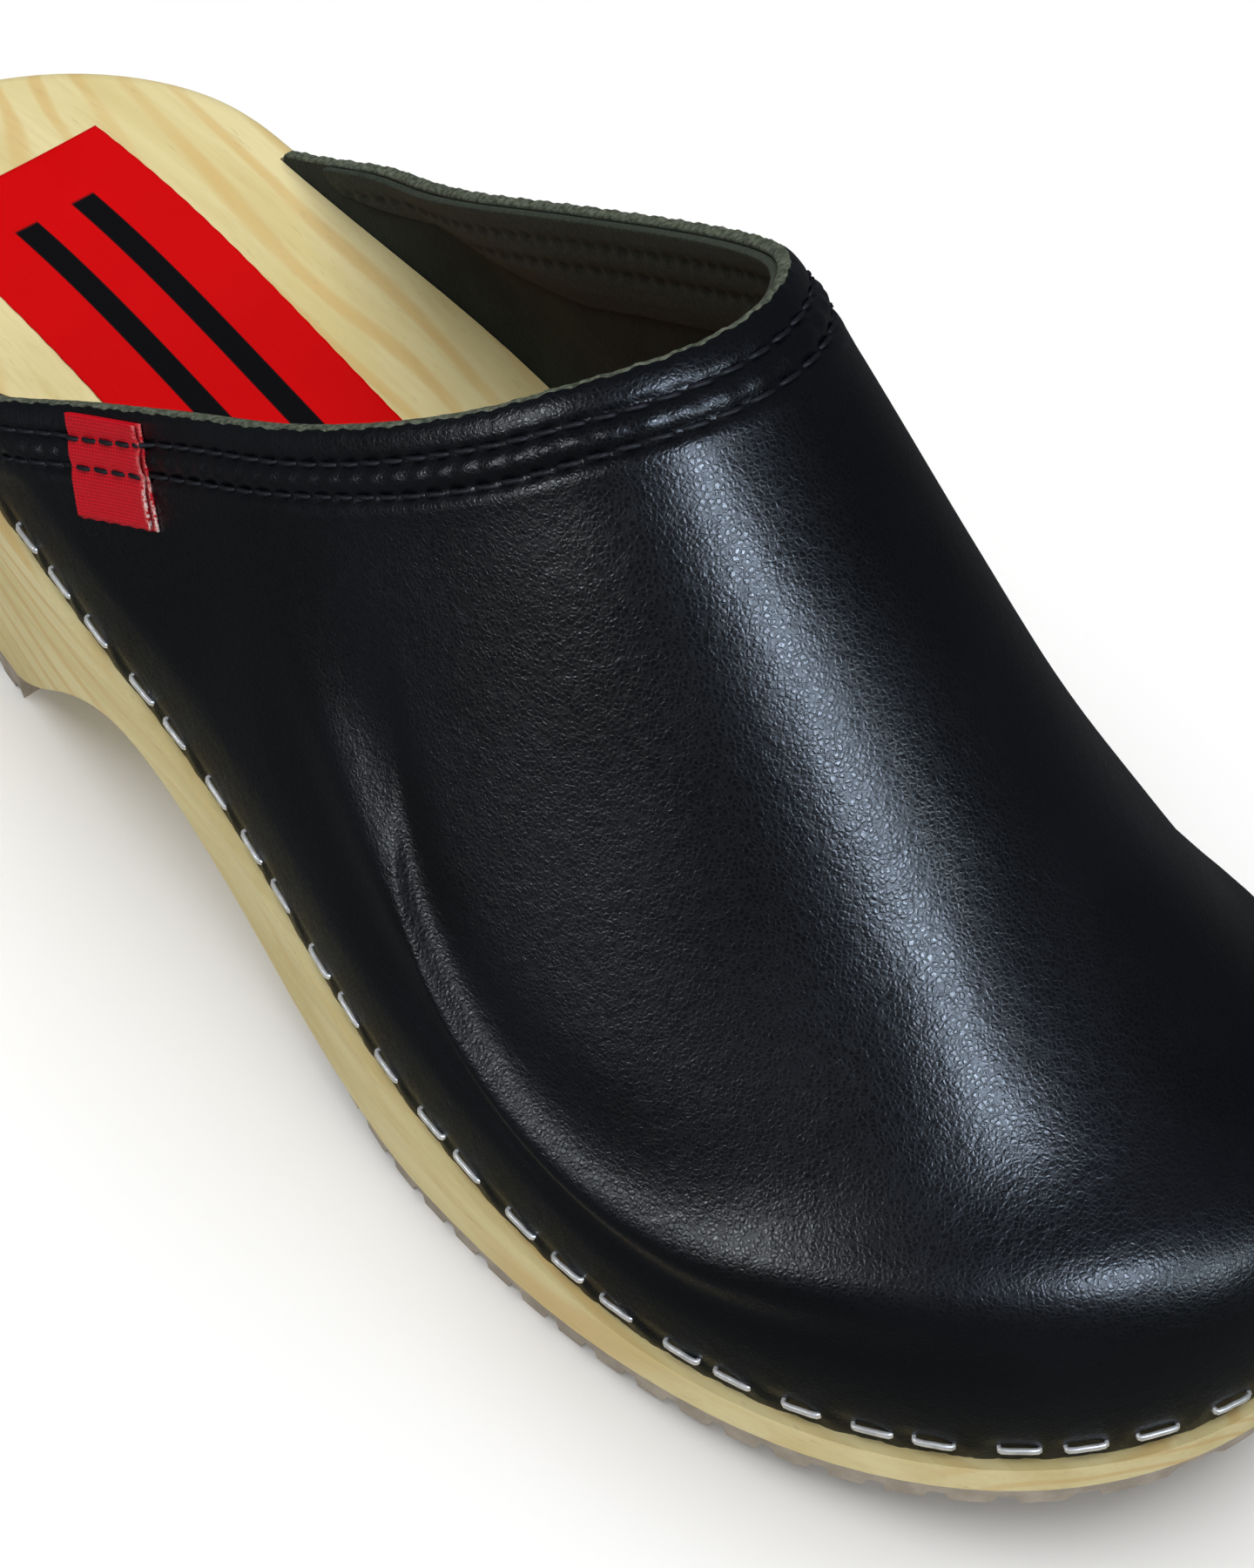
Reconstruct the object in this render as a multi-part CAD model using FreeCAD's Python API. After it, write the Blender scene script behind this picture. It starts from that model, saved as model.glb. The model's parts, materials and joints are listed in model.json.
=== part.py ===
import FreeCAD, Part
import math
import os

# A right-foot clog: a leather upper stapled to a carved wooden sole on ribbed rubber.
# Millimetres. The toe points to -Y and the heel to +Y, the outer (lateral) side is -X, the inner
# (medial) side is +X, and Z is up from the surface that the clog stands on. The origin is under
# the middle of the sole's length and of its widest breadth.
#
# A station is a distance from the back of the heel towards the toe. The stations below belong to
# a pattern that is PATTERN_LENGTH long, and they grade with LENGTH. Heights, breadths, thicknesses
# and clearances don't.

# Overall sizes
LENGTH = 255.0
PATTERN_LENGTH = 255.0
BALL_WIDTH = 93.0

# Sole outline in plan: breadths from the middle line, and the stations where they are reached
HEEL_BACK_X = -2.3
HEEL_LATERAL = 36.2
HEEL_MEDIAL = 31.6
HEEL_STATION = 41.0
WAIST_LATERAL = 39.3
WAIST_MEDIAL = 35.8
WAIST_STATION = 101.0
BALL_LATERAL_STATION = 171.0
BALL_MEDIAL_STATION = 185.0
TOE_X = 6.3
HEEL_ROUNDNESS = 0.5
SIDE_ROUNDNESS = 0.42
TOE_ROUNDNESS = 0.6
HEEL_TAPER = 3.0
HEEL_FULL_HEIGHT = 45.0

# Heights along the sole: (station, height)
FOOTBED_LINE = [(-10, 47.0), (0, 48.5), (40, 51.0), (90, 43.5), (130, 36.0), (160, 28.5),
                (200, 22.5), (235, 27.0), (265, 35.0)]
WOOD_BOTTOM_LINE = [(140, 8.6), (150, 6.4), (164, 4.5), (180, 4.5), (200, 5.6), (220, 8.2),
                    (240, 12.6), (265, 20.5)]
ARCH_LINE = [(66, 5.0), (76, 12.5), (86, 21.0), (96, 25.0), (107, 22.0), (118, 16.6), (129, 11.9),
             (140, 8.6)]
LEATHER_EDGE_LINE = [(35, 48.0), (47, 45.5), (80, 39.5), (120, 27.0), (160, 17.0), (200, 11.5),
                     (235, 16.5), (255, 22.0), (270, 27.0)]
FOOTBED_DISH = 3.2
FOOTBED_ROUND = 3.0

# Leather upper
LEATHER = 2.2
LIP = 1.5
FIT_GAP = 0.1
TIP_STATION = 47.0
APEX_STATION = 205.0
SPINE_X = 1.5
SIDE_BAND = 18.0
RIM_LINE = [(30, 45.0), (45, 48.5), (60, 55.0), (75, 62.5), (90, 70.5), (105, 79.0), (120, 87.5),
            (135, 97.0), (145, 104.0), (153, 110.0), (158, 113.0), (163, 115.0), (175, 119.0)]
# Each cross-section turns in at a corner above the band and meets the crown along a level handle.
CORNER_INSET_LINE = [(47, 5.0), (85, 5.0), (118, 2.5), (150, 3.0), (178, 3.5), (205, 3.2),
                     (255, 3.0)]
CORNER_RISE_LINE = [(47, 8.5), (85, 9.0), (118, 11.5), (150, 12.5), (178, 12.0), (205, 10.5),
                    (255, 8.0)]
CROWN_HANDLE_LINE = [(47, 16.0), (85, 19.0), (118, 20.0), (150, 15.0), (178, 13.5), (205, 11.5),
                     (255, 12.5)]
CROWN_LINE = [(47, 112.0), (85, 115.0), (118, 120.0), (150, 120.0), (178, 98.0), (205, 73.0)]

# Trim on the upper
COLLAR_DEPTH = 14.0
COLLAR_THICKNESS = 1.0
COLLAR_END_MARGIN = 10.0
PUFF_REACH = 0.76
PUFF_THICKNESS = 0.9
PUFF_GLUE = 0.3
STITCH_ROWS = {"topline_stitch_upper_row": 3.6, "topline_stitch_lower_row": 7.4}
STITCH_LENGTH = 2.5
STITCH_PITCH = 3.4
THREAD = 0.7
ROW_END_MARGIN = 2.2  # times the row's drop, because the edge comes down on the staples at its tips
TAG_STATION = 90.5
TAG_WIDTH = 14.5
TAG_HEIGHT = 13.0
TAG_THICKNESS = 0.8
TAG_DROP = 0.8

# Staples
STAPLE_PITCH = 8.0
STAPLE_CROWN = 5.2
STAPLE_WIRE = 1.1
STAPLE_GAUGE = 0.7
STAPLE_LEG = 6.0
STAPLE_ABOVE_EDGE = 2.2
STAPLE_END_MARGIN = 6.0
STAPLE_WANDER = 0.7
STAPLE_TILT = 3.0

# Rubber
HEEL_RUBBER = 5.0
SOLE_RUBBER = 4.5
RUBBER_INSET = 0.8
RIB_PITCH = 6.0
RIB_GROOVE = 2.4
RIB_DEPTH = 1.5
RUBBER_FEATHER = 14.0

# Label on the footbed
LABEL_WIDTH = 30.0
LABEL_X = -1.8
LABEL_START = 24.5
LABEL_END = 150.0
LABEL_THICKNESS = 0.3

CONTACT = 0.02
BEYOND = 70.0


def grade(station):
    return station * LENGTH / PATTERN_LENGTH


def point(x, station, z):
    """A point from its breadth, its graded station and its height."""
    return FreeCAD.Vector(x, LENGTH / 2 - station, z)


def smooth_line(pairs, keep_level=False):
    """A function of the graded station that passes smoothly through (station, value) pairs.

    With keep_level, a span between two equal values is level all along."""
    xs = [grade(p[0]) for p in pairs]
    ys = [p[1] for p in pairs]
    steps = [b - a for a, b in zip(xs, xs[1:])]
    slopes = [(b - a) / h for a, b, h in zip(ys, ys[1:], steps)]
    inner = [(slopes[i] * steps[i + 1] + slopes[i + 1] * steps[i]) / (steps[i] + steps[i + 1])
             for i in range(len(steps) - 1)]
    tangents = [slopes[0]] + inner + [slopes[-1]]
    if keep_level:
        for i, slope in enumerate(slopes):
            if slope == 0:
                tangents[i] = 0.0
                tangents[i + 1] = 0.0

    def value(x):
        x = min(max(x, xs[0]), xs[-1])
        i = max(k for k in range(len(steps)) if xs[k] <= x)
        t = (x - xs[i]) / steps[i]
        near = (2 * t ** 3 - 3 * t * t + 1) * ys[i] + (t ** 3 - 2 * t * t + t) * steps[i] * tangents[i]
        far = (3 * t * t - 2 * t ** 3) * ys[i + 1] + (t ** 3 - t * t) * steps[i] * tangents[i + 1]
        return near + far

    return value


footbed_edge = smooth_line(FOOTBED_LINE)
leather_edge = smooth_line(LEATHER_EDGE_LINE)
rim_height = smooth_line(RIM_LINE)
corner_inset = smooth_line(CORNER_INSET_LINE)
corner_rise = smooth_line(CORNER_RISE_LINE)
crown_handle = smooth_line(CROWN_HANDLE_LINE)
crown_height = smooth_line(CROWN_LINE)
wood_bottom = smooth_line(WOOD_BOTTOM_LINE, keep_level=True)


# ---------------------------------------------------------------- plan outline

def outline_segments(taper):
    """Eight Bezier spans (breadth, station) from the heel's back round the outer side and the toe.

    taper draws the heel in, for the outline at the ground."""
    ball = BALL_WIDTH / 2
    heel_out = HEEL_LATERAL - taper
    heel_in = HEEL_MEDIAL - taper
    heel, waist = grade(HEEL_STATION), grade(WAIST_STATION)
    outer, inner = grade(BALL_LATERAL_STATION), grade(BALL_MEDIAL_STATION)
    back = taper * 0.8
    side, toe, round_heel = SIDE_ROUNDNESS, TOE_ROUNDNESS, HEEL_ROUNDNESS
    knots = [
        ((HEEL_BACK_X, back), (-1, 0)), ((-heel_out, heel), (0, 1)), ((-WAIST_LATERAL, waist), (0, 1)),
        ((-ball, outer), (0, 1)), ((TOE_X, LENGTH), (1, 0)), ((ball, inner), (0, -1)),
        ((WAIST_MEDIAL, waist), (0, -1)), ((heel_in, heel), (0, -1)), ((HEEL_BACK_X, back), (-1, 0)),
    ]
    fullness = [round_heel, side, side, toe, toe, side, side, round_heel]
    spans = []
    for (a, ta), (b, tb), k in zip(knots, knots[1:], fullness):
        reach_a = k * abs(b[0] - a[0] if ta[0] else b[1] - a[1])
        reach_b = k * abs(b[0] - a[0] if tb[0] else b[1] - a[1])
        spans.append((a, (a[0] + ta[0] * reach_a, a[1] + ta[1] * reach_a),
                      (b[0] - tb[0] * reach_b, b[1] - tb[1] * reach_b), b))
    return spans


def outline_points(inset, per_span, taper=0.0):
    """Points (breadth, station) round the outline, moved inwards by inset."""
    out = []
    for p in outline_segments(taper):
        for i in range(per_span):
            t = i / per_span
            w = ((1 - t) ** 3, 3 * t * (1 - t) ** 2, 3 * t * t * (1 - t), t ** 3)
            d = (3 * (1 - t) ** 2, 6 * t * (1 - t), 3 * t * t)
            x = sum(w[k] * p[k][0] for k in range(4))
            s = sum(w[k] * p[k][1] for k in range(4))
            dx = sum(d[k] * (p[k + 1][0] - p[k][0]) for k in range(3))
            ds = sum(d[k] * (p[k + 1][1] - p[k][1]) for k in range(3))
            size = math.hypot(dx, ds)
            out.append((x + inset * ds / size, s - inset * dx / size, ds / size, -dx / size))
    return out


def outline_wire(inset, z, taper=0.0):
    """A closed smooth wire round the outline at height z."""
    curve = Part.BSplineCurve()
    places = [point(p[0], p[1], z) for p in outline_points(inset, 8, taper)]
    curve.interpolate(Points=places, PeriodicFlag=True)
    return Part.Wire([curve.toShape()])


def outline_column(inset, low, high):
    face = Part.Face(outline_wire(inset, low))
    return face.extrude(FreeCAD.Vector(0, 0, high - low))


BASE = outline_points(LIP, 60)
BASE_FRONT = BASE[60:421]
TOE_INDEX = max(range(len(BASE_FRONT)), key=lambda i: BASE_FRONT[i][1])
LATERAL = BASE_FRONT[:TOE_INDEX + 1]
MEDIAL = BASE_FRONT[TOE_INDEX:][::-1]
APEX = grade(APEX_STATION)
TIP = grade(TIP_STATION)


def between(a, b, t):
    return tuple(p + (q - p) * t for p, q in zip(a, b))


def base_at(side, station):
    """The upper's foot on one side (-1 outer, +1 inner) at a station: breadth, station, normal."""
    row = LATERAL if side < 0 else MEDIAL
    low, high = 0, len(row) - 1
    while high - low > 1:
        mid = (low + high) // 2
        if row[mid][1] <= station:
            low = mid
        else:
            high = mid
    return between(row[low], row[high], (station - row[low][1]) / (row[high][1] - row[low][1]))


def run_lengths(row):
    lengths = [0.0]
    for a, b in zip(row, row[1:]):
        lengths.append(lengths[-1] + math.hypot(b[0] - a[0], b[1] - a[1]))
    return lengths


def along(row, lengths, distance):
    """The point at a distance along a row of points."""
    low, high = 0, len(row) - 1
    while high - low > 1:
        mid = (low + high) // 2
        if lengths[mid] <= distance:
            low = mid
        else:
            high = mid
    return between(row[low], row[high], (distance - lengths[low]) / (lengths[high] - lengths[low]))


FAN = [base_at(-1, APEX)] + [p for p in BASE_FRONT if p[1] > APEX] + [base_at(1, APEX)]
FAN_LENGTHS = run_lengths(FAN)


# ---------------------------------------------------------------- shape of the upper

def rib_weights(h):
    """Weights of eight poles of a clamped cubic B-spline at h between 0 and 1."""
    spans = 5
    knots = [0.0] * 3 + [k / spans for k in range(spans + 1)] + [1.0] * 3
    h = min(max(h, 0.0), 1.0 - 1e-9)
    weights = [1.0 if knots[i] <= h < knots[i + 1] else 0.0 for i in range(len(knots) - 1)]
    for degree in range(1, 4):
        for i in range(len(weights) - degree):
            left = knots[i + degree] - knots[i]
            right = knots[i + degree + 1] - knots[i + 1]
            a = (h - knots[i]) / left * weights[i] if left else 0.0
            b = (knots[i + degree + 1] - h) / right * weights[i + 1] if right else 0.0
            weights[i] = a + b
    return weights[:8]


def rib_point(base, crown, h):
    """A point on the rib that rises from base and ends on the crown: breadth, station, height.

    The rib is upright along SIDE_BAND, turns in at its corner and runs out level at the crown,
    or down the crown's own slope where it points to the toe."""
    reach = math.hypot(base[0] - crown[0], base[1] - crown[1])
    out_x, out_s = (base[0] - crown[0]) / reach, (base[1] - crown[1]) / reach
    foot = leather_edge(base[1])
    top = crown_height(crown[1])
    fall = (crown_height(APEX) - crown_height(APEX - 4.0)) / 4.0 * out_s if base[1] > APEX else 0.0
    inset = corner_inset(base[1])
    corner = foot + SIDE_BAND + corner_rise(base[1])
    handle = crown_handle(base[1])
    shoulder = top + fall * handle
    inward = [0, 0, 0, 0, inset, (inset + reach - handle) / 2, reach - handle, reach]
    up = [foot, foot + SIDE_BAND / 3, foot + SIDE_BAND * 2 / 3, foot + SIDE_BAND, corner,
          (corner + shoulder) / 2, shoulder, top]
    weights = rib_weights(h)
    r = sum(w * q for w, q in zip(weights, inward))
    z = sum(w * q for w, q in zip(weights, up))
    return base[0] - out_x * r, base[1] - out_s * r, z


def surface_point(across, forward):
    """The upper's outer face. across runs from -1 (outer edge) to 1 (inner edge); forward is a
    distance back from the apex when it is negative, and a share of the toe fan when positive."""
    if forward <= 0:
        station = APEX + forward
        base = base_at(-1 if across < 0 else 1, station)
        return rib_point(base, (SPINE_X, station), 1 - abs(across))
    radius = min(math.hypot(across, forward), 1.0)
    turn = 1 - math.atan2(forward, across) / math.pi
    base = along(FAN, FAN_LENGTHS, turn * FAN_LENGTHS[-1])
    return rib_point(base, (SPINE_X, APEX), 1 - radius)


def surface_frame(across, forward):
    """Point and outward normal of the upper's outer face."""
    step = 0.004
    stride = step * (APEX - TIP)
    before = stride if forward <= 0 else min(step, forward)
    after = min(stride, -forward) if forward < 0 else step
    here = FreeCAD.Vector(*surface_point(across, forward))
    right = FreeCAD.Vector(*surface_point(across + step, forward))
    left = FreeCAD.Vector(*surface_point(across - step, forward))
    ahead = FreeCAD.Vector(*surface_point(across, forward + after))
    behind = FreeCAD.Vector(*surface_point(across, forward - before))
    normal = (right - left).cross(ahead - behind)
    normal.normalize()
    core = FreeCAD.Vector(SPINE_X, min(here.y, APEX), leather_edge(here.y))
    if normal.dot(here - core) < 0:
        normal = normal * -1
    return here, normal


def skin_point(across, forward, depth):
    """A point at depth below the upper's outer face, in the clog's own frame."""
    radius = abs(across) if forward <= 0 else math.hypot(across, forward)
    if radius > 1 - 1e-6:
        if forward <= 0:
            base = base_at(-1 if across < 0 else 1, APEX + forward)
        else:
            turn = 1 - math.atan2(forward, across) / math.pi
            base = along(FAN, FAN_LENGTHS, turn * FAN_LENGTHS[-1])
        size = math.hypot(base[2], base[3])
        return point(base[0] + depth * base[2] / size, base[1] + depth * base[3] / size,
                     leather_edge(base[1]))
    reach = min(max(radius, 0.01), 0.99) / radius if radius > 0.01 else 1.0
    here, normal = surface_frame(across * reach, forward * reach if forward > 0 else forward)
    real = surface_point(across, forward)
    return point(real[0] - depth * normal.x, real[1] - depth * normal.y, real[2] - depth * normal.z)


def square_to_toe(u, v, reach=1.0):
    """Maps a square patch on the half disc of the toe fan, with no pole at its middle."""
    return reach * u * math.sqrt(1 - v * v / 2), reach * v * math.sqrt(1 - u * u / 2)


def skin_solid(outer, inner):
    """A thin solid between two grids of points with the same layout."""
    faces = []
    for grid in (outer, inner):
        surface = Part.BSplineSurface()
        surface.interpolate(grid)
        faces.append(surface.toShape())
    sides = [Part.makeRuledSurface(a, b) for a, b in zip(faces[0].Edges, faces[1].Edges)]
    shell = Part.makeShell(faces + sides)
    shell.sewShape()
    solid = Part.makeSolid(shell)
    if solid.Volume < 0:
        solid.reverse()
    return solid


def spread(low, high, count):
    return [low + (high - low) * i / (count - 1) for i in range(count)]


def side_prism(points_2d, half_width=BEYOND):
    """A prism across the clog whose side view is the closed polygon (station, height)."""
    wire = Part.makePolygon([point(-half_width, s, z) for s, z in points_2d + points_2d[:1]])
    return Part.Face(wire).extrude(FreeCAD.Vector(2 * half_width, 0, 0))


def side_edge(function, stations, x):
    """A smooth edge in the side view along a height function."""
    curve = Part.BSplineCurve()
    curve.interpolate(Points=[point(x, s, function(s)) for s in stations])
    return curve.toShape()


def prism_above(function, stations, top):
    """Everything above a smooth line in the side view, up to top."""
    edge = side_edge(function, stations, -BEYOND)
    first, last = stations[0], stations[-1]
    back = Part.makePolygon([point(-BEYOND, last, function(last)), point(-BEYOND, last, top),
                             point(-BEYOND, first, top), point(-BEYOND, first, function(first))])
    wire = Part.Wire([edge] + back.Edges)
    return Part.Face(wire).extrude(FreeCAD.Vector(2 * BEYOND, 0, 0))


# ---------------------------------------------------------------- wood and rubber

SOLE_TOP = max(p[1] for p in FOOTBED_LINE) + 4.0
OUTSOLE_BACK = grade(WOOD_BOTTOM_LINE[0][0])
HEEL_FRONT = grade(ARCH_LINE[0][0])


def footbed_height(x, station):
    """The footbed: its edge line, dished across."""
    share = min(x * x / (BALL_WIDTH / 2) ** 2, 2.0)
    return footbed_edge(station) - FOOTBED_DISH * (1 - share)


def footbed_cutter():
    rows = [[point(x, s, footbed_height(x, s)) for x in spread(-BEYOND, BEYOND, 15)]
            for s in spread(grade(-10), grade(265), 24)]
    surface = Part.BSplineSurface()
    surface.interpolate(rows)
    return surface.toShape().extrude(FreeCAD.Vector(0, 0, 2 * BEYOND))


def tapered_column():
    """The sole's sides, with the heel drawn in from HEEL_FULL_HEIGHT down to the ground."""
    flare = HEEL_TAPER * (1 - SOLE_TOP / HEEL_FULL_HEIGHT)
    ends = [outline_wire(0, 0, HEEL_TAPER), outline_wire(0, SOLE_TOP, flare)]
    return Part.makeLoft(ends, True, True)


def sole_edge(x):
    """The underside of the forefoot, shared by the wood and its rubber."""
    return side_edge(wood_bottom, spread(OUTSOLE_BACK, grade(265), 20), x)


def sole_block():
    """Side view of the wood: flat heel, scooped breast and arch, tread and toe spring."""
    x = -BEYOND
    arch = Part.BSplineCurve()
    scoop = [point(x, grade(s), z) for s, z in ARCH_LINE[1:-1]]
    breast = point(x, HEEL_FRONT, HEEL_RUBBER)
    arch.interpolate(Points=[breast] + scoop + [point(x, OUTSOLE_BACK, wood_bottom(OUTSOLE_BACK))])
    front, back = grade(265), -20.0
    rest = Part.makePolygon([point(x, front, wood_bottom(front)), point(x, front, SOLE_TOP),
                             point(x, back, SOLE_TOP), point(x, back, HEEL_RUBBER),
                             point(x, HEEL_FRONT, HEEL_RUBBER)])
    wire = Part.Wire([arch.toShape(), sole_edge(x)] + rest.Edges)
    return Part.Face(wire).extrude(FreeCAD.Vector(2 * BEYOND, 0, 0))


def rabbet():
    """The step cut round the front of the sole for the leather's edge."""
    stations = spread(TIP - FIT_GAP, grade(268), 22)
    above = prism_above(lambda s: leather_edge(s) - FIT_GAP, stations, SOLE_TOP + BEYOND)
    return above.cut(outline_column(LIP + LEATHER + FIT_GAP, -BEYOND, SOLE_TOP + 2 * BEYOND))


def wooden_sole():
    body = tapered_column().common(sole_block()).cut(footbed_cutter())
    rim_edges = [e for e in body.Edges if is_footbed_rim(e)]
    body = body.makeFillet(FOOTBED_ROUND, rim_edges)
    return body.cut(rabbet())


def is_footbed_rim(edge):
    """True for an edge that runs round the footbed."""
    for share in (0.1, 0.5, 0.9):
        p = edge.valueAt(edge.FirstParameter + share * (edge.LastParameter - edge.FirstParameter))
        if abs(p.z - footbed_height(p.x, LENGTH / 2 - p.y)) > 0.2:
            return False
    return edge.Length > 10


def rib_profile(start, end, top, feather, floor):
    """The side view (station, height) of a tread: a row of ribs between grooves RIB_DEPTH deep.

    top(s) is the face that is bonded on, and floor(s) is the height of the ribs' faces. The back
    end thins out over the length feather."""
    lower = []
    count = max(1, round((end - start) / RIB_PITCH))
    pitch = (end - start) / count
    for i in range(count):
        s0 = start + i * pitch
        groove = RIB_GROOVE / pitch
        corners = ((0.0, 0.0), (1 - groove, 0.0), (1 - 0.8 * groove, 1.0), (1 - 0.2 * groove, 1.0))
        for share, depth in corners:
            s = s0 + share * pitch
            thick = min(1.0, 0.3 + 0.7 * (s - start) / feather) if feather else 1.0
            full = top(s) - floor(s)
            lower.append((s, top(s) - full * thick + depth * RIB_DEPTH * thick))
    lower.append((end, floor(end)))
    return lower


def forefoot_outsole():
    x = -BEYOND
    start, end = OUTSOLE_BACK, grade(265)
    lower = rib_profile(start, end, wood_bottom, RUBBER_FEATHER,
                        lambda s: wood_bottom(s) - SOLE_RUBBER)
    underside = [(start, wood_bottom(start))] + lower + [(end, wood_bottom(end))]
    polygon = Part.makePolygon([point(x, s, z) for s, z in underside])
    wire = Part.Wire([sole_edge(x)] + polygon.Edges)
    slab = Part.Face(wire).extrude(FreeCAD.Vector(2 * BEYOND, 0, 0))
    return slab.common(outline_column(RUBBER_INSET, -10, SOLE_TOP))


def heel_lift():
    lower = rib_profile(-10.0, HEEL_FRONT, lambda s: HEEL_RUBBER, 0, lambda s: 0.0)
    slab = side_prism([(-10.0, HEEL_RUBBER)] + lower + [(HEEL_FRONT, HEEL_RUBBER)])
    return slab.common(tapered_column())


def footbed_label():
    """A thin transfer along the middle of the footbed."""
    xs = spread(LABEL_X - LABEL_WIDTH / 2, LABEL_X + LABEL_WIDTH / 2, 7)
    stations = spread(grade(LABEL_START), grade(LABEL_END), 24)
    grids = [[[point(x, s, footbed_height(x, s) + lift) for x in xs] for s in stations]
             for lift in (CONTACT + LABEL_THICKNESS, CONTACT)]
    return skin_solid(grids[0], grids[1])


# ---------------------------------------------------------------- leather

def upper_block():
    """The whole moulded skin, before its mouth is cut."""
    sides = spread(-1, 1, 33)
    back = spread(TIP - APEX, 0, 27)[:-1]
    toe = spread(0, 1, 15)
    grids = []
    for depth in (0.0, LEATHER):
        rows = [[skin_point(u, f, depth) for u in sides] for f in back]
        for v in toe:
            rows.append([skin_point(*square_to_toe(u, v), depth) for u in sides])
        grids.append(rows)
    return skin_solid(grids[0], grids[1])


def mouth_cutter():
    stations = spread(grade(34), grade(174), 26)
    return prism_above(rim_height, stations, 3 * BEYOND)


def rim_station(across):
    """The station where the mouth's edge crosses one line of the upper."""
    low, high = TIP, grade(174)
    for _ in range(40):
        mid = (low + high) / 2
        if surface_point(across, mid - APEX)[2] > rim_height(mid):
            low = mid
        else:
            high = mid
    return low


def rim_reach():
    """How far across the upper its mouth reaches at the tip."""
    low, high = 0.3, 1.0
    for _ in range(40):
        mid = (low + high) / 2
        if surface_point(mid, TIP - APEX)[2] > rim_height(TIP):
            low = mid
        else:
            high = mid
    return low


class Rim:
    """The mouth's edge on the outer face, by distance from the outer tip, and places below it."""

    def __init__(self):
        reach = rim_reach() - 0.005
        self.across = [reach * math.sin(math.radians(a)) for a in spread(-90, 90, 121)]
        self.forward = [rim_station(a) - APEX for a in self.across]
        places = [surface_point(a, f) for a, f in zip(self.across, self.forward)]
        self.lengths = [0.0]
        for p, q in zip(places, places[1:]):
            self.lengths.append(self.lengths[-1] + math.dist(p, q))
        self.length = self.lengths[-1]

    def domain(self, distance):
        pairs = list(zip(self.across, self.forward))
        return along(pairs, self.lengths, min(max(distance, 0.0), self.length))

    def below(self, distance, drop):
        """Domain coordinates of the place a drop below the rim, square to it on the surface."""
        a, f = self.domain(distance)
        p, q = self.domain(distance - 1.0), self.domain(distance + 1.0)
        tangent = FreeCAD.Vector(*surface_point(*q)) - FreeCAD.Vector(*surface_point(*p))
        tangent.normalize()
        steps = max(1, math.ceil(drop / 2.0))
        for _ in range(steps):
            here, normal = surface_frame(a, f)
            way = normal.cross(tangent)
            way.normalize()
            along_a = (FreeCAD.Vector(*surface_point(a + 0.003, f)) - here) * (1 / 0.003)
            along_f = (FreeCAD.Vector(*surface_point(a, f + 0.3)) - here) * (1 / 0.3)
            aa, af, ff = along_a.dot(along_a), along_a.dot(along_f), along_f.dot(along_f)
            ra, rf = along_a.dot(way), along_f.dot(way)
            determinant = aa * ff - af * af
            a += drop / steps * (ra * ff - rf * af) / determinant
            f += drop / steps * (rf * aa - ra * af) / determinant
        return a, f


RIM = Rim()


def collar_reinforcement():
    """A strip inside the mouth, glued under the stitching."""
    distances = spread(COLLAR_END_MARGIN, RIM.length - COLLAR_END_MARGIN, 61)
    places = [[RIM.below(d, drop) for drop in collar_drops(d)] for d in distances]
    grids = []
    for depth in (LEATHER + FIT_GAP, LEATHER + FIT_GAP + COLLAR_THICKNESS):
        grids.append([[skin_point(*place, depth) for place in row] for row in places])
    return skin_solid(grids[0], grids[1])


def collar_drops(distance):
    """Drops across the strip, which narrows where the upper runs out at its two tips."""
    nearest = min(distance, RIM.length - distance)
    depth = min(COLLAR_DEPTH, 1.6 + 0.2 * nearest)
    return spread(0.6, depth, 5)


def toe_puff():
    """The stiffener that keeps the toe round, bonded inside the leather."""
    places = [[square_to_toe(u, v, PUFF_REACH) for u in spread(-1, 1, 25)]
              for v in spread(0.02, 1, 15)]
    grids = []
    for depth in (LEATHER + PUFF_GLUE, LEATHER + PUFF_GLUE + PUFF_THICKNESS):
        grids.append([[skin_point(*place, depth) for place in row] for row in places])
    return skin_solid(grids[0], grids[1])


def tag_span():
    """Distances along the rim between which the side tag hangs."""
    wanted = grade(TAG_STATION) - APEX
    middle = min(spread(0, RIM.length / 2, 400), key=lambda d: abs(RIM.domain(d)[1] - wanted))
    return middle - TAG_WIDTH / 2, middle + TAG_WIDTH / 2


TAG_FROM, TAG_TO = tag_span()


def side_tag():
    """A folded cloth tag under the stitching on the outer side."""
    drops = spread(TAG_DROP, TAG_DROP + TAG_HEIGHT, 6)
    places = [[RIM.below(d, drop) for drop in drops] for d in spread(TAG_FROM, TAG_TO, 7)]
    grids = []
    for lift in (CONTACT + TAG_THICKNESS, CONTACT):
        grids.append([[skin_point(*place, -lift) for place in row] for row in places])
    return skin_solid(grids[0], grids[1])


def stitch_row(drop):
    """A row of stitches lying on the leather, and on the tag where they cross it."""
    stitches = []
    margin = ROW_END_MARGIN * drop
    count = int((RIM.length - 2 * margin) / STITCH_PITCH)
    for i in range(count + 1):
        distance = margin + i * STITCH_PITCH
        on_tag = TAG_FROM - STITCH_LENGTH < distance < TAG_TO + STITCH_LENGTH
        lift = THREAD / 2 + FIT_GAP + (TAG_THICKNESS if on_tag else 0.0)
        ends = [skin_point(*RIM.below(distance + half, drop), -lift)
                for half in (-STITCH_LENGTH / 2, STITCH_LENGTH / 2)]
        run = ends[1] - ends[0]
        stitches.append(Part.makeCylinder(THREAD / 2, run.Length, ends[0], run))
    return Part.makeCompound(stitches)


# ---------------------------------------------------------------- staples

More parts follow.
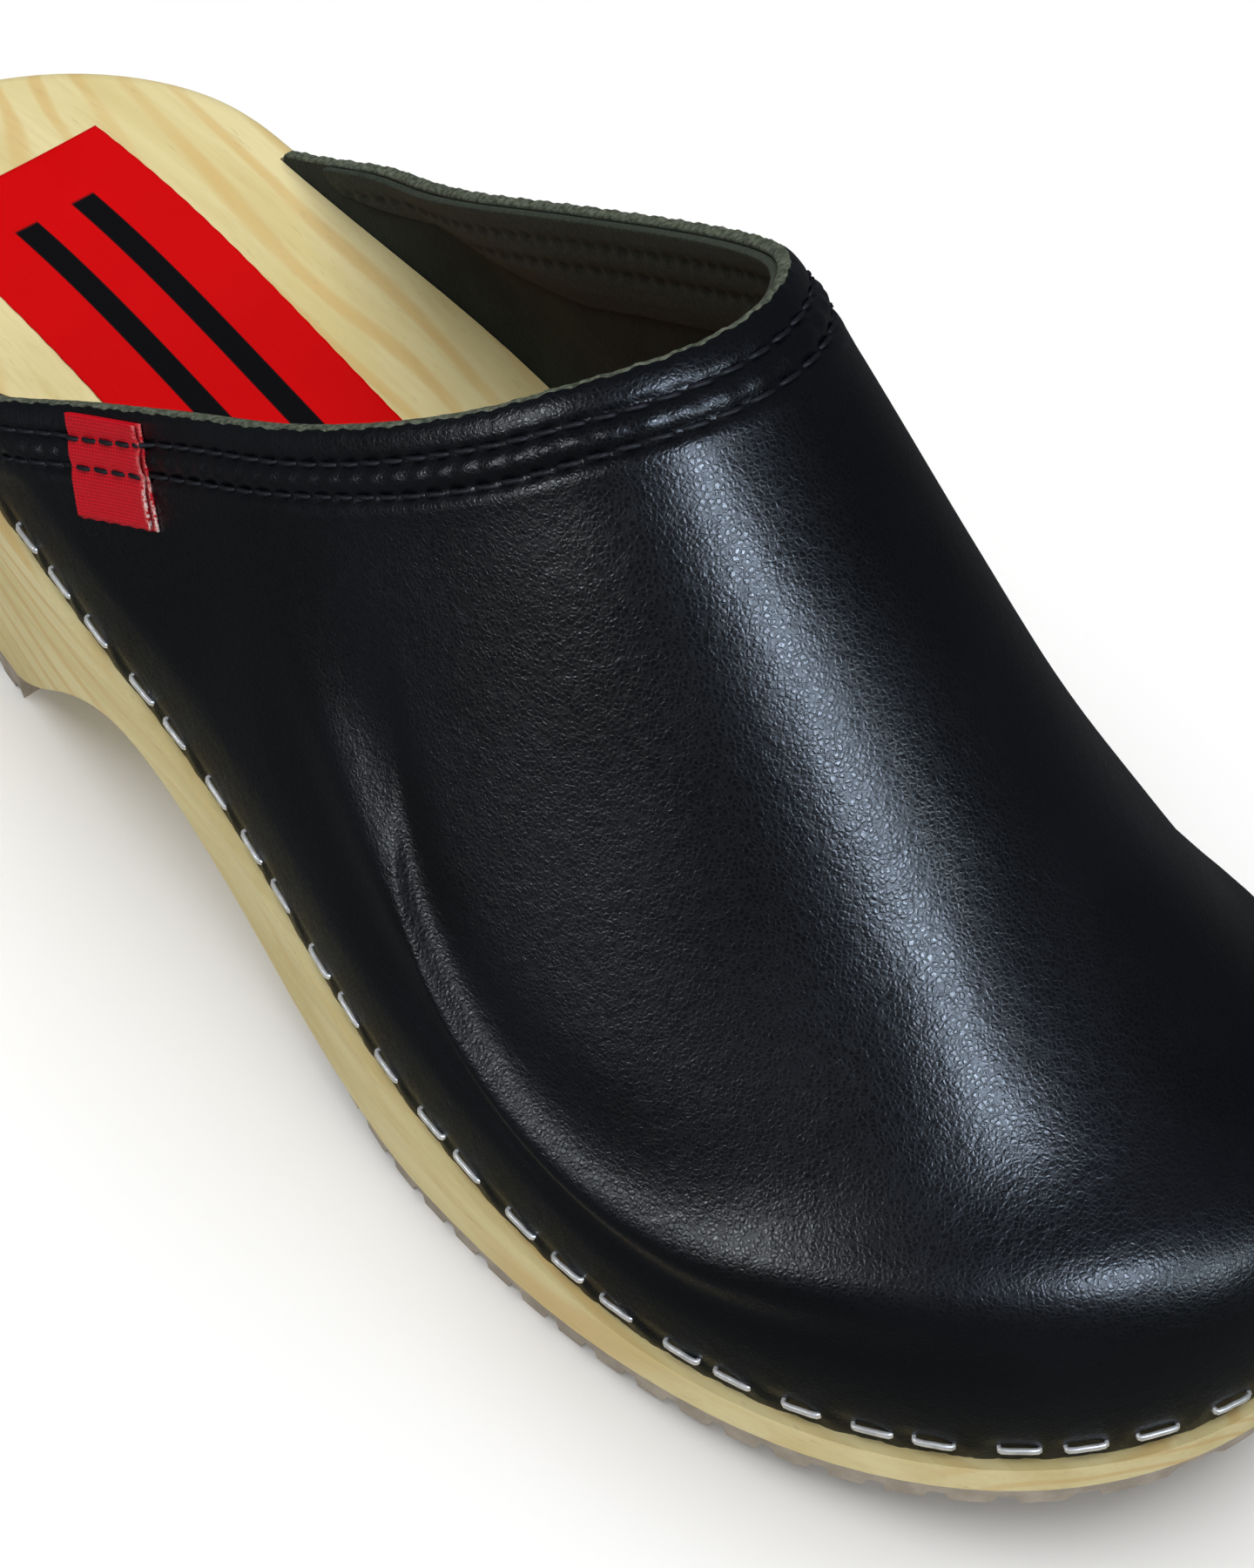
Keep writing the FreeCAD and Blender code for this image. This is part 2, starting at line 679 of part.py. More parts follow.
def block_at(centre, directions, sizes):
    """A box with its own three directions and three sizes, centred at a point."""
    corner = centre
    for direction, size in zip(directions, sizes):
        corner = corner - direction * (size / 2)
    box = Part.makeBox(*sizes)
    across, along_, up = directions
    box.Placement = FreeCAD.Placement(corner, FreeCAD.Rotation(across, along_, up, "XYZ"))
    return box


def edge_place(base):
    """Where the leather's lower edge is, above a point of the upper's foot."""
    return point(base[0], base[1], leather_edge(base[1]))


def staples():
    """Crowns and legs round the leather's edge, keyed by the part of the edge that they hold."""
    row = [base_at(-1, TIP)] + [p for p in BASE_FRONT if p[1] > TIP] + [base_at(1, TIP)]
    lengths = run_lengths(row)
    free = lengths[-1] - 2 * STAPLE_END_MARGIN
    count = round(free / STAPLE_PITCH)
    toe_from, toe_to = 0.36, 0.64
    groups = {"staples_lateral": [], "staples_toe": [], "staples_medial": []}
    for i in range(count + 1):
        share = i / count
        distance = STAPLE_END_MARGIN + free * share + STAPLE_WANDER * math.sin(2.4 * i)
        here = along(row, lengths, distance)
        ahead, behind = along(row, lengths, distance + 1), along(row, lengths, distance - 1)
        run = edge_place(ahead) - edge_place(behind)
        run.normalize()
        inward = FreeCAD.Vector(here[2], -here[3], 0)
        inward.normalize()
        run = FreeCAD.Rotation(inward, STAPLE_TILT * math.sin(1.7 * i)).multVec(run)
        up = run.cross(inward)
        up.normalize()
        inward = up.cross(run)
        if inward.x * here[2] - inward.y * here[3] < 0:
            inward = inward * -1
        if up.z < 0:
            up = up * -1
        seat = edge_place(here) + FreeCAD.Vector(0, 0, STAPLE_ABOVE_EDGE)
        side = "medial" if share >= toe_to else "toe" if share >= toe_from else "lateral"
        groups["staples_" + side].append(staple(seat, run, inward, up))
    return groups


def staple(seat, run, inward, up):
    """One staple: its crown stands on the leather and its legs go through into the wood."""
    crown_centre = seat - inward * (STAPLE_GAUGE / 2 + FIT_GAP)
    crown = block_at(crown_centre, (run, inward, up), (STAPLE_CROWN, STAPLE_GAUGE, STAPLE_WIRE))
    legs = []
    for side in (-1, 1):
        beside = run * (side * (STAPLE_CROWN - STAPLE_GAUGE) / 2)
        middle = seat + beside + inward * (STAPLE_LEG / 2 - FIT_GAP)
        legs.append(block_at(middle, (run, inward, up), (STAPLE_GAUGE, STAPLE_LEG, STAPLE_WIRE)))
    return crown, legs


# ---------------------------------------------------------------- assembly

def build():
    groups = staples()
    legs = [leg for group in groups.values() for crown, pair in group for leg in pair]
    nodes = {
        "wooden_sole": wooden_sole().cut(legs),
        "upper": upper_block().cut(mouth_cutter()).cut(legs),
        "collar_reinforcement": collar_reinforcement(),
        "toe_puff": toe_puff(),
        "side_tag": side_tag(),
        "footbed_label": footbed_label(),
        "forefoot_outsole": forefoot_outsole(),
        "heel_lift": heel_lift(),
    }
    for name, group in groups.items():
        nodes[name] = Part.makeCompound([crown.fuse(pair) for crown, pair in group])
    for name, drop in STITCH_ROWS.items():
        nodes[name] = stitch_row(drop)
    return nodes


os.makedirs("parts", exist_ok=True)
for name, shape in build().items():
    shape.exportStep(os.path.join("parts", name + ".step"))
    box = shape.BoundBox
    print(name, "solids", len(shape.Solids), "valid", shape.isValid(), "volume", round(shape.Volume, 1),
          [round(v, 2) for v in (box.XMin, box.XMax, box.YMin, box.YMax, box.ZMin, box.ZMax)])
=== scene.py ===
# %% [markdown]
# # A wooden clog, surface by surface
# This file dresses a right-foot clog: black leather stapled round a pale wooden sole that stands on
# ribbed rubber. The engineering model gives every piece its size and place. Here each visible piece
# gets a finer surface, worked out as whole arrays with numpy, and a finish built from shader nodes.
# We work in millimetres and scale to metres when a mesh is made, because leather, thread and wire
# are easier to think about that way.

# %% Load the fixed frame
import json

import bpy
import numpy as np
from mathutils import Matrix, Vector

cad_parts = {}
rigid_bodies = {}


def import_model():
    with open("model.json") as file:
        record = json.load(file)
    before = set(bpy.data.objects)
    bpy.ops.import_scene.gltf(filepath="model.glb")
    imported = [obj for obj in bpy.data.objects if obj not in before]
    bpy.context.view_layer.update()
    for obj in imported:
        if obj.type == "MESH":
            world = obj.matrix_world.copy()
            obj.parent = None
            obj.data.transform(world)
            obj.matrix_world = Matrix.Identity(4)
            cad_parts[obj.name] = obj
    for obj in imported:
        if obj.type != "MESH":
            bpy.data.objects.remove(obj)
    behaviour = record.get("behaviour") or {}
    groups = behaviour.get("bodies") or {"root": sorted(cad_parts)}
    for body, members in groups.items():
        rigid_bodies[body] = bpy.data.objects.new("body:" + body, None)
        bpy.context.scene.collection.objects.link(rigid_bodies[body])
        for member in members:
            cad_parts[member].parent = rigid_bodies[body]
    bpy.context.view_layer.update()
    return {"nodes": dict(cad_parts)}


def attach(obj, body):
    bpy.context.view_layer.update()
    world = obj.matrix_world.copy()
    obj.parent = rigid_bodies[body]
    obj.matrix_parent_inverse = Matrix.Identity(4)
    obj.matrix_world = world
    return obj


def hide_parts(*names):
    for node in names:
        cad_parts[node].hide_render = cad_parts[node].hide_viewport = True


for leftover in list(bpy.data.objects):
    bpy.data.objects.remove(leftover)
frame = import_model()
MM = 0.001

# %% [markdown]
# ## Shader maths that reads like maths
# A finish is a network of small nodes. Wiring them one at a time hides the idea, so a tiny class
# wraps a socket and overloads the arithmetic operators: writing `1 - mask * 0.4` adds the Math
# nodes. Colours are never put through Math nodes, which would turn them grey; they are blended.


# %% A socket that can be added and multiplied
class Strand:
    """One output of a finish's node. Arithmetic on it adds the Math nodes."""

    def __init__(self, finish, socket):
        self.finish = finish
        self.socket = socket

    def math(self, operation, *values):
        return self.finish.node("Math", {"operation": operation}, dict(enumerate(values)))

    def __add__(self, other):
        return self.math("ADD", self, other)

    def __radd__(self, other):
        return self.math("ADD", other, self)

    def __sub__(self, other):
        return self.math("SUBTRACT", self, other)

    def __rsub__(self, other):
        return self.math("SUBTRACT", other, self)

    def __mul__(self, other):
        return self.math("MULTIPLY", self, other)

    def __rmul__(self, other):
        return self.math("MULTIPLY", other, self)

    def __truediv__(self, other):
        return self.math("DIVIDE", self, other)

    def __abs__(self):
        return self.math("ABSOLUTE", self)

    def wave(self):
        """A smooth wave between 0 and 1 with one crest for each whole number."""
        return self.math("SINE", self * (2 * np.pi)) * 0.5 + 0.5

    def ease(self, low, high):
        """Smoothly 0 below low and 1 above high."""
        return self.finish.node(
            "MapRange", {"interpolation_type": "SMOOTHSTEP"},
            {"Value": self, "From Min": low, "From Max": high, "To Min": 0.0, "To Max": 1.0})


# %% [markdown]
# ## One method for every other node
# Each finish starts from the Principled shader. What stays the same over the surface is typed on
# the shader itself, and what varies is linked to it: colour, roughness and the bumped normal.


# %% A finish under construction
def socket_name(word):
    """The shader's socket for a keyword: base_color is Base Color."""
    return word.replace("_", " ").title().replace("Ior", "IOR")


class Finish:
    """A material being built. node() adds any kind of node and returns one of its outputs."""

    def __init__(self, name, **steady):
        self.material = bpy.data.materials.new(name)
        self.material.use_nodes = True
        self.tree = self.material.node_tree
        self.shader = self.tree.nodes["Principled BSDF"]
        for socket, value in steady.items():
            self.shader.inputs[socket_name(socket)].default_value = value
        spot = self.node("TexCoord", output="Object")
        self.here = self.node("VectorMath", {"operation": "SCALE"}, {0: spot, "Scale": 1 / MM})

    def node(self, kind, settings=None, inputs=None, output=0):
        """Adds a node: settings first, then the values or links of its sockets."""
        new = self.tree.nodes.new("ShaderNode" + kind)
        for key, value in (settings or {}).items():
            setattr(new, key, value)
        for key, value in (inputs or {}).items():
            if isinstance(value, Strand):
                self.tree.links.new(value.socket, new.inputs[key])
            else:
                new.inputs[key].default_value = value
        return Strand(self, new.outputs[output])

    def stretched(self, x, y, z):
        """The place in millimetres, multiplied along each axis."""
        return self.node("VectorMath", {"operation": "MULTIPLY"}, {0: self.here, 1: (x, y, z)})

    def noise(self, size, detail=3.0, where=None, distortion=0.0, roughness=0.5):
        """Cloudy noise between 0 and 1 with lumps about size millimetres across."""
        inputs = {"Vector": where or self.here, "Scale": 1 / size, "Detail": detail,
                  "Distortion": distortion, "Roughness": roughness}
        return self.node("TexNoise", {}, inputs)

    def cells(self, size):
        """Distance to the nearest border between cells about size millimetres across."""
        return self.node("TexVoronoi", {"feature": "DISTANCE_TO_EDGE"},
                         {"Vector": self.here, "Scale": 1 / size})

    def blend(self, share, first, second):
        """Two colours mixed by a share."""
        first = first if isinstance(first, Strand) else (*first, 1.0)
        second = second if isinstance(second, Strand) else (*second, 1.0)
        return self.node("Mix", {"data_type": "RGBA"}, {0: share, 6: first, 7: second}, output=2)

    def bump(self, height, depth, under=None):
        """Raises the surface by height times depth millimetres, on top of another bump."""
        inputs = {"Height": height, "Distance": depth * MM, "Strength": 1.0}
        if under is not None:
            inputs["Normal"] = under
        return self.node("Bump", {}, inputs)

    def value(self, name):
        """A number stored on the mesh under that name."""
        return self.node("Attribute", {"attribute_name": name}, output="Fac")

    def wear(self, **links):
        """Links what varies over the surface to the shader and returns the material."""
        for socket, strand in links.items():
            self.tree.links.new(strand.socket, self.shader.inputs[socket_name(socket)])
        return self.material


# %% [markdown]
# ## From arrays to meshes
# Every new piece is a grid of points: rows and columns, some of them closed on themselves. One
# function lists the quads between neighbours, and another puts points and faces into a mesh. The
# signed volume tells whether a closed shell came out inside out, so faces always point outwards.


# %% Grids of quads, and meshes made from them
def squared_off(x, power):
    """A power of the size of x that keeps its sign: below 1 it turns a circle into a rounded square."""
    return np.sign(x) * np.abs(x) ** power


def unit(vectors):
    """Vectors scaled to length 1."""
    return vectors / np.linalg.norm(vectors, axis=-1, keepdims=True)


def quads(rows, columns, ring=False):
    """Quads between neighbours on a grid numbered row by row; ring joins the last column to the first."""
    r = np.arange(rows - 1)[:, None]
    c = np.arange(columns if ring else columns - 1)[None, :]
    after = (c + 1) % columns
    corners = [r * columns + c, r * columns + after, (r + 1) * columns + after, (r + 1) * columns + c]
    return np.stack(corners, -1).reshape(-1, 4)


def signed_volume(points, faces):
    """Volume enclosed by quads, negative when they face inwards."""
    a, b, c, d = (points[faces[:, k]] for k in range(4))
    return float(((a * np.cross(b, c)).sum() + (a * np.cross(c, d)).sum()) / 6)


def make_piece(name, points, faces, materials, slot, nodes, caps=(), which=None, values=None):
    """A mesh from points (mm), quads and end caps that rides on the clog and stands for CAD nodes."""
    points = np.asarray(points, float).reshape(-1, 3)
    caps = [list(cap) for cap in caps]
    if signed_volume(points, faces) < 0:
        faces = faces[:, ::-1]
        caps = [cap[::-1] for cap in caps]
    mesh = bpy.data.meshes.new(name)
    mesh.from_pydata((points * MM).tolist(), [], faces.tolist() + caps)
    count = len(mesh.polygons)
    mesh.polygons.foreach_set("use_smooth", np.ones(count, bool))
    for material in materials:
        mesh.materials.append(material)
    if which is not None:
        mesh.polygons.foreach_set("material_index", np.r_[which, np.zeros(len(caps))].astype(np.int32))
    for key, numbers in (values or {}).items():
        layer = mesh.attributes.new(key, "FLOAT", "POINT")
        layer.data.foreach_set("value", np.asarray(numbers, np.float32).ravel())
    mesh.validate()
    piece = bpy.data.objects.new(name, mesh)
    bpy.context.scene.collection.objects.link(piece)
    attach(piece, "root")
    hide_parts(*nodes)
    low, high = points.min(0), points.max(0)
    print(f"{name}: {count} faces, {np.round(high - low, 1)} mm")
    return piece


def make_tube(name, loops, materials, slot, nodes, **more):
    """A piece from closed loops (loop, around, xyz): quads between the loops and a cap on each end."""
    count, around = loops.shape[:2]
    caps = [range(around)[::-1], (count - 1) * around + np.arange(around)]
    return make_piece(name, loops, quads(count, around, ring=True), materials, slot, nodes, caps, **more)


# %% [markdown]
# ## The shape of the last
# A clog's leather is moulded over a last, a foot-shaped block. Its plan is eight cubic Bezier spans
# round the sole. Its sides come from smooth lines in the side view: where the leather ends, where
# the mouth is cut, how high the crown runs. Stations are distances from the back of the heel.

# %% Lines in the side view
LENGTH = 255.0
BALL = 93.0 / 2
LEATHER, LIP, TIP, APEX, SPINE_X, SIDE_BAND = 2.2, 1.5, 47.0, 205.0, 1.5, 18.0


def smooth_line(pairs, keep_level=False):
    """Cubic Hermite spans through (station, value) pairs, with slopes averaged at the joins."""
    x, y = np.array(pairs, float).T
    step, slope = np.diff(x), np.diff(y) / np.diff(x)
    inner = (slope[:-1] * step[1:] + slope[1:] * step[:-1]) / (step[:-1] + step[1:])
    tangent = np.r_[slope[0], inner, slope[-1]]
    if keep_level:
        level = slope == 0
        tangent[:-1][level] = 0
        tangent[1:][level] = 0

    def value(at):
        at = np.clip(at, x[0], x[-1])
        i = np.clip(np.searchsorted(x, at, "right") - 1, 0, len(step) - 1)
        t = (at - x[i]) / step[i]
        near = (2 * t ** 3 - 3 * t * t + 1) * y[i] + (t ** 3 - 2 * t * t + t) * step[i] * tangent[i]
        far = (3 * t * t - 2 * t ** 3) * y[i + 1] + (t ** 3 - t * t) * step[i] * tangent[i + 1]
        return near + far

    return value


footbed_edge = smooth_line([(-10, 47), (0, 48.5), (40, 51), (90, 43.5), (130, 36), (160, 28.5),
                            (200, 22.5), (235, 27), (265, 35)])
leather_edge = smooth_line([(35, 48), (47, 45.5), (80, 39.5), (120, 27), (160, 17), (200, 11.5),
                            (235, 16.5), (255, 22), (270, 27)])
rim_height = smooth_line([(30, 45), (45, 48.5), (60, 55), (75, 62.5), (90, 70.5), (105, 79),
                          (120, 87.5), (135, 97), (145, 104), (153, 110), (158, 113), (163, 115),
                          (175, 119)])
corner_inset = smooth_line([(47, 5), (85, 5), (118, 2.5), (150, 3), (178, 3.5), (205, 3.2), (255, 3)])
corner_rise = smooth_line([(47, 8.5), (85, 9), (118, 11.5), (150, 12.5), (178, 12), (205, 10.5),
                           (255, 8)])
crown_handle = smooth_line([(47, 16), (85, 19), (118, 20), (150, 15), (178, 13.5), (205, 11.5),
                            (255, 12.5)])
crown_height = smooth_line([(47, 112), (85, 115), (118, 120), (150, 120), (178, 98), (205, 73)])
CROWN_FALL = float(crown_height(APEX) - crown_height(APEX - 4)) / 4
print("crown falls", round(-CROWN_FALL, 2), "mm per mm at the toe's apex")

# %% [markdown]
# ## The plan outline
# Each span is a Bezier curve between two knots whose tangents run along the axes, so only a
# roundness is needed per span. Moving the curve along its inward normal gives the foot of the
# leather, which sits on a lip just inside the wood's edge.


# %% Outline points and the foot of the leather
def outline(t, inset=0.0):
    """Points (breadth, station, inward x, inward station) at t from 0 to 8 round the sole."""
    knots = np.array([(-2.3, 0), (-36.2, 41), (-39.3, 101), (-BALL, 171), (6.3, LENGTH), (BALL, 185),
                      (35.8, 101), (31.6, 41), (-2.3, 0)])
    ways = np.array([(-1, 0), (0, 1), (0, 1), (0, 1), (1, 0), (0, -1), (0, -1), (0, -1), (-1, 0)], float)
    fullness = np.array([0.5, 0.42, 0.42, 0.6, 0.6, 0.42, 0.42, 0.5])
    a, b, ta, tb = knots[:-1], knots[1:], ways[:-1], ways[1:]
    reach_a = fullness * np.abs(((b - a) * ta).sum(1))
    reach_b = fullness * np.abs(((b - a) * tb).sum(1))
    poles = np.stack([a, a + ta * reach_a[:, None], b - tb * reach_b[:, None], b])
    span = np.clip(np.floor(t).astype(int), 0, 7)
    u = (t - span)[:, None]
    p = poles[:, span]
    here = (1 - u) ** 3 * p[0] + 3 * u * (1 - u) ** 2 * p[1] + 3 * u * u * (1 - u) * p[2] + u ** 3 * p[3]
    way = unit((1 - u) ** 2 * (p[1] - p[0]) + 2 * u * (1 - u) * (p[2] - p[1]) + u * u * (p[3] - p[2]))
    inward = np.stack([way[:, 1], -way[:, 0]], 1)
    return np.hstack([here + inset * inward, inward])


FOOT = outline(np.linspace(1, 7, 2401), LIP)
TOE = int(FOOT[:, 1].argmax())


def running(points):
    """Distance along a row of points, from 0."""
    return np.r_[0, np.cumsum(np.linalg.norm(np.diff(points, axis=0), axis=1))]


def foot_at(side, station):
    """The leather's foot on one side at a station: breadth, station, inward normal."""
    row = FOOT[:TOE + 1] if side < 0 else FOOT[TOE:][::-1]
    return np.stack([np.interp(station, row[:, 1], row[:, k]) for k in range(4)], -1)


def foot_row(start):
    """The leather's foot from the outer side at a station, round the toe, to the inner side."""
    return np.vstack([foot_at(-1, start), FOOT[FOOT[:, 1] > start], foot_at(1, start)])


FAN = foot_row(APEX)
FAN_RUN = running(FAN[:, :2])
ROW = foot_row(TIP)
ROW_RUN = running(ROW[:, :2])
print("the leather's edge is", round(ROW_RUN[-1]), "mm long round the toe")

# %% [markdown]
# ## The moulded surface
# Ribs rise from the foot to the crown line like the ribs of a boat: upright along a band, turned in
# at a corner, then level at the crown. Ribs from the toe all meet at one apex, in a fan. Each rib is
# a cubic B-spline of eight poles, which bends smoothly and can be computed for all points at once.


# %% The upper as a function of two parameters
def rib_weights(h):
    """Weights of eight poles of a clamped cubic B-spline with five equal spans."""
    knots = np.r_[[0.0] * 3, np.arange(6) / 5, [1.0] * 3]
    h = np.clip(h, 0, 1 - 1e-9)
    w = [((knots[i] <= h) & (h < knots[i + 1])).astype(float) for i in range(11)]
    for degree in range(1, 4):
        for i in range(11 - degree):
            left, right = knots[i + degree] - knots[i], knots[i + degree + 1] - knots[i + 1]
            rising = (h - knots[i]) / left * w[i] if left else 0.0
            falling = (knots[i + degree + 1] - h) / right * w[i + 1] if right else 0.0
            w[i] = rising + falling
    return np.stack(w[:8])


def last_surface(across, forward):
    """Point (x, station, height) of the upper's outer face.

    across is -1 at the outer foot, 0 at the crown and 1 at the inner foot. forward is millimetres
    back from the apex when negative, and a share of the toe fan, from 0 to 1, when positive."""
    across, forward = np.broadcast_arrays(np.asarray(across, float), np.asarray(forward, float))
    toe, ahead = forward > 0, np.maximum(forward, 0)
    station = APEX + np.minimum(forward, 0)
    turn = (1 - np.arctan2(ahead, across) / np.pi) * FAN_RUN[-1]
    side = np.where((across < 0)[..., None], foot_at(-1, station), foot_at(1, station))
    fan = np.stack([np.interp(turn, FAN_RUN, FAN[:, k]) for k in range(4)], -1)
    base = np.where(toe[..., None], fan, side)
    crown_s = np.where(toe, APEX, station)
    h = 1 - np.where(toe, np.minimum(np.hypot(across, ahead), 1), np.abs(across))
    dx, ds = base[..., 0] - SPINE_X, base[..., 1] - crown_s
    reach = np.hypot(dx, ds)
    dx, ds = dx / reach, ds / reach
    bottom, top = leather_edge(base[..., 1]), crown_height(crown_s)
    fall = np.where(base[..., 1] > APEX, CROWN_FALL * ds, 0)
    inset, handle = corner_inset(base[..., 1]), crown_handle(base[..., 1])
    corner, shoulder = bottom + SIDE_BAND + corner_rise(base[..., 1]), top + fall * handle
    zero = np.zeros_like(reach)
    inward = np.stack([zero, zero, zero, zero, inset, (inset + reach - handle) / 2, reach - handle, reach])
    up = np.stack([bottom, bottom + SIDE_BAND / 3, bottom + SIDE_BAND * 2 / 3, bottom + SIDE_BAND,
                   corner, (corner + shoulder) / 2, shoulder, top])
    weights = rib_weights(h)
    r, z = (weights * inward).sum(0), (weights * up).sum(0)
    return np.stack([base[..., 0] - dx * r, base[..., 1] - ds * r, z], -1)


def in_frame(p):
    """From (breadth, station, height) to the clog's own axes, whose toe points to -Y."""
    return np.stack([p[..., 0], LENGTH / 2 - p[..., 1], p[..., 2]], -1)


def outer_face(across, forward):
    """Point of the upper's outer face in the clog's own axes."""
    return in_frame(last_surface(across, forward))


def outward(across, forward):
    """Unit normal of the outer face, in the clog's own axes, from small differences."""
    ahead = np.where(forward > 0, 0.004, 0.6)
    u = outer_face(across + 0.004, forward) - outer_face(across - 0.004, forward)
    v = outer_face(across, forward + ahead) - outer_face(across, forward - ahead)
    return unit(np.cross(v, u))


middle = outward(np.array([0.0]), np.array([-40.0]))[0]
print("the crown faces", np.round(middle, 2), "which must point up")

# %% [markdown]
# ## The mouth of the clog
# The mouth is the curve where the moulded surface reaches the rim's height. We find it by halving
# the interval for a whole row of ribs together. Everything near the mouth, the stitching, the tag
# and the collar, is then placed by two distances: along the rim, and down from it.


# %% Find the rim, and walk down from it
def halve(low, high, inside, steps=40):
    """Bisects many intervals at once: inside(x) is true above the crossing."""
    for _ in range(steps):
        mid = (low + high) / 2
        hit = inside(mid)
        low, high = np.where(hit, mid, low), np.where(hit, high, mid)
    return low


tip_reach = float(halve(np.array(0.3), np.array(1.0),
                        lambda a: last_surface(a, TIP - APEX)[..., 2] > rim_height(TIP))) - 0.005
RIM_PLACES, RIM_CREST = 721, 174.0
RIM_ACROSS = tip_reach * np.sin(np.radians(np.linspace(-90, 90, RIM_PLACES)))
RIM_FORWARD = halve(np.full(RIM_PLACES, TIP), np.full(RIM_PLACES, RIM_CREST),
                    lambda s: last_surface(RIM_ACROSS, s - APEX)[..., 2] > rim_height(s)) - APEX
RIM_RUN = running(last_surface(RIM_ACROSS, RIM_FORWARD))
RIM_LENGTH = float(RIM_RUN[-1])


def on_rim(distance):
    """Surface parameters of a place on the rim."""
    return np.interp(distance, RIM_RUN, RIM_ACROSS), np.interp(distance, RIM_RUN, RIM_FORWARD)


def below_rim(distance, drop):
    """Surface parameters of a place a drop below the rim, walking square to it on the surface."""
    distance, drop = np.broadcast_arrays(np.asarray(distance, float), np.asarray(drop, float))
    a, f = on_rim(distance)
    tangent = unit(outer_face(*on_rim(distance + 1)) - outer_face(*on_rim(distance - 1)))
    steps = max(1, int(np.ceil(drop.max() / 2)))
    for _ in range(steps):
        here, n = outer_face(a, f), outward(a, f)
        way = unit(np.cross(tangent, n))
        along_a = (outer_face(a + 0.003, f) - here) / 0.003
        along_f = (outer_face(a, f + 0.3) - here) / 0.3
        pairs = (along_a, along_a), (along_a, along_f), (along_f, along_f)
        aa, af, ff = ((p * q).sum(-1) for p, q in pairs)
        ra, rf = (along_a * way).sum(-1), (along_f * way).sum(-1)
        det = aa * ff - af * af
        a = a + drop / steps * (ra * ff - rf * af) / det
        f = f + drop / steps * (rf * aa - ra * af) / det
    return a, f


step_down = outer_face(*below_rim(RIM_LENGTH / 2, 10.0))
print("rim", round(RIM_LENGTH), "mm; 10 mm below its crest is", np.round(step_down, 1))

# %% [markdown]
# ## Where the staples sit
# Wire staples hold the leather's edge to the wood, about 8 mm apart and never quite level, because
# they are shot by hand. Their places come first, as the leather is dented round every one.

# %% Staple places round the edge
STAPLE_GAP, STAPLE_WIDE, STAPLE_WIRE, STAPLE_RISE, STAPLE_MARGIN = 8.0, 5.2, 0.7, 2.2, 6.0
free = ROW_RUN[-1] - 2 * STAPLE_MARGIN
staple_count = int(round(free / STAPLE_GAP)) + 1
order = np.arange(staple_count)
staple_share = order / (staple_count - 1)
staple_run = STAPLE_MARGIN + free * staple_share + 0.7 * np.sin(2.4 * order)


def on_edge(run, lift=0.0):
    """Points on the leather's lower edge at distances round it, and the inward normals there."""
    x, s, nx, ns = (np.interp(run, ROW_RUN, ROW[:, k]) for k in range(4))
    size = np.hypot(nx, ns)
    place = in_frame(np.stack([x, s, leather_edge(s) + lift], -1))
    return place, np.stack([nx / size, -ns / size, 0 * nx], -1)


print(staple_count, "staples")

# %% [markdown]
# ## The leather sheet
# One sheet runs from the mouth down to the stapled edge. Columns join a place on the rim to a place
# on the edge; along each column the rows crowd where detail is needed, under the rim and above the
# edge. The sheet is then pressed: furrows under the two rows of stitches with a soft welt between
# them, a dent at every staple, and a little unevenness, since hide is never flat like plastic.
# Round the toe the last has a firm ridge where the top turns down into the wall.

# %% Columns from the rim to the edge
COLUMNS, PROBE, FAN_UNIT = 640, 160, 45
edge_run = np.linspace(0, ROW_RUN[-1], COLUMNS)
rim_a, rim_f = on_rim(edge_run / ROW_RUN[-1] * RIM_LENGTH)
edge_s = np.interp(edge_run, ROW_RUN, ROW[:, 1])
turn = np.clip((edge_run - ROW_RUN[np.searchsorted(ROW[:, 1] > APEX, True)]) / FAN_RUN[-1], 0, 1)
on_side = edge_s <= APEX + 1e-6
first_half = edge_run < ROW_RUN[-1] / 2
edge_x = np.where(on_side, np.where(first_half, -1.0, 1.0), -np.cos(np.pi * turn))
edge_y = np.where(on_side, (edge_s - APEX) / FAN_UNIT, np.sin(np.pi * turn))
rim_y = rim_f / FAN_UNIT


def column_point(share):
    """Surface parameters at a share of the way from the rim (0) to the edge (1) of each column."""
    a = rim_a[:, None] + (edge_x - rim_a)[:, None] * share
    y = rim_y[:, None] + (edge_y - rim_y)[:, None] * share
    return a, np.where(y > 0, y, y * FAN_UNIT)


probe = np.linspace(0, 1, PROBE)[None, :]
path = outer_face(*column_point(probe))
steps_down = np.linalg.norm(np.diff(path, axis=1), axis=2)
gone = np.concatenate([np.zeros((COLUMNS, 1)), np.cumsum(steps_down, 1)], 1)
down = unit(path[:, 3] - path[:, 0])
rim_way = unit(np.gradient(path[:, 0], axis=0))
edge_way = unit(np.gradient(path[:, -1], axis=0))
last_step = unit(path[:, -1] - path[:, -4])
lean_top = np.linalg.norm(np.cross(down, rim_way), axis=1)
lean_low = np.linalg.norm(np.cross(last_step, edge_way), axis=1)
print("columns are", np.round(gone[:, -1].min(), 1), "to", np.round(gone[:, -1].max()), "mm long")

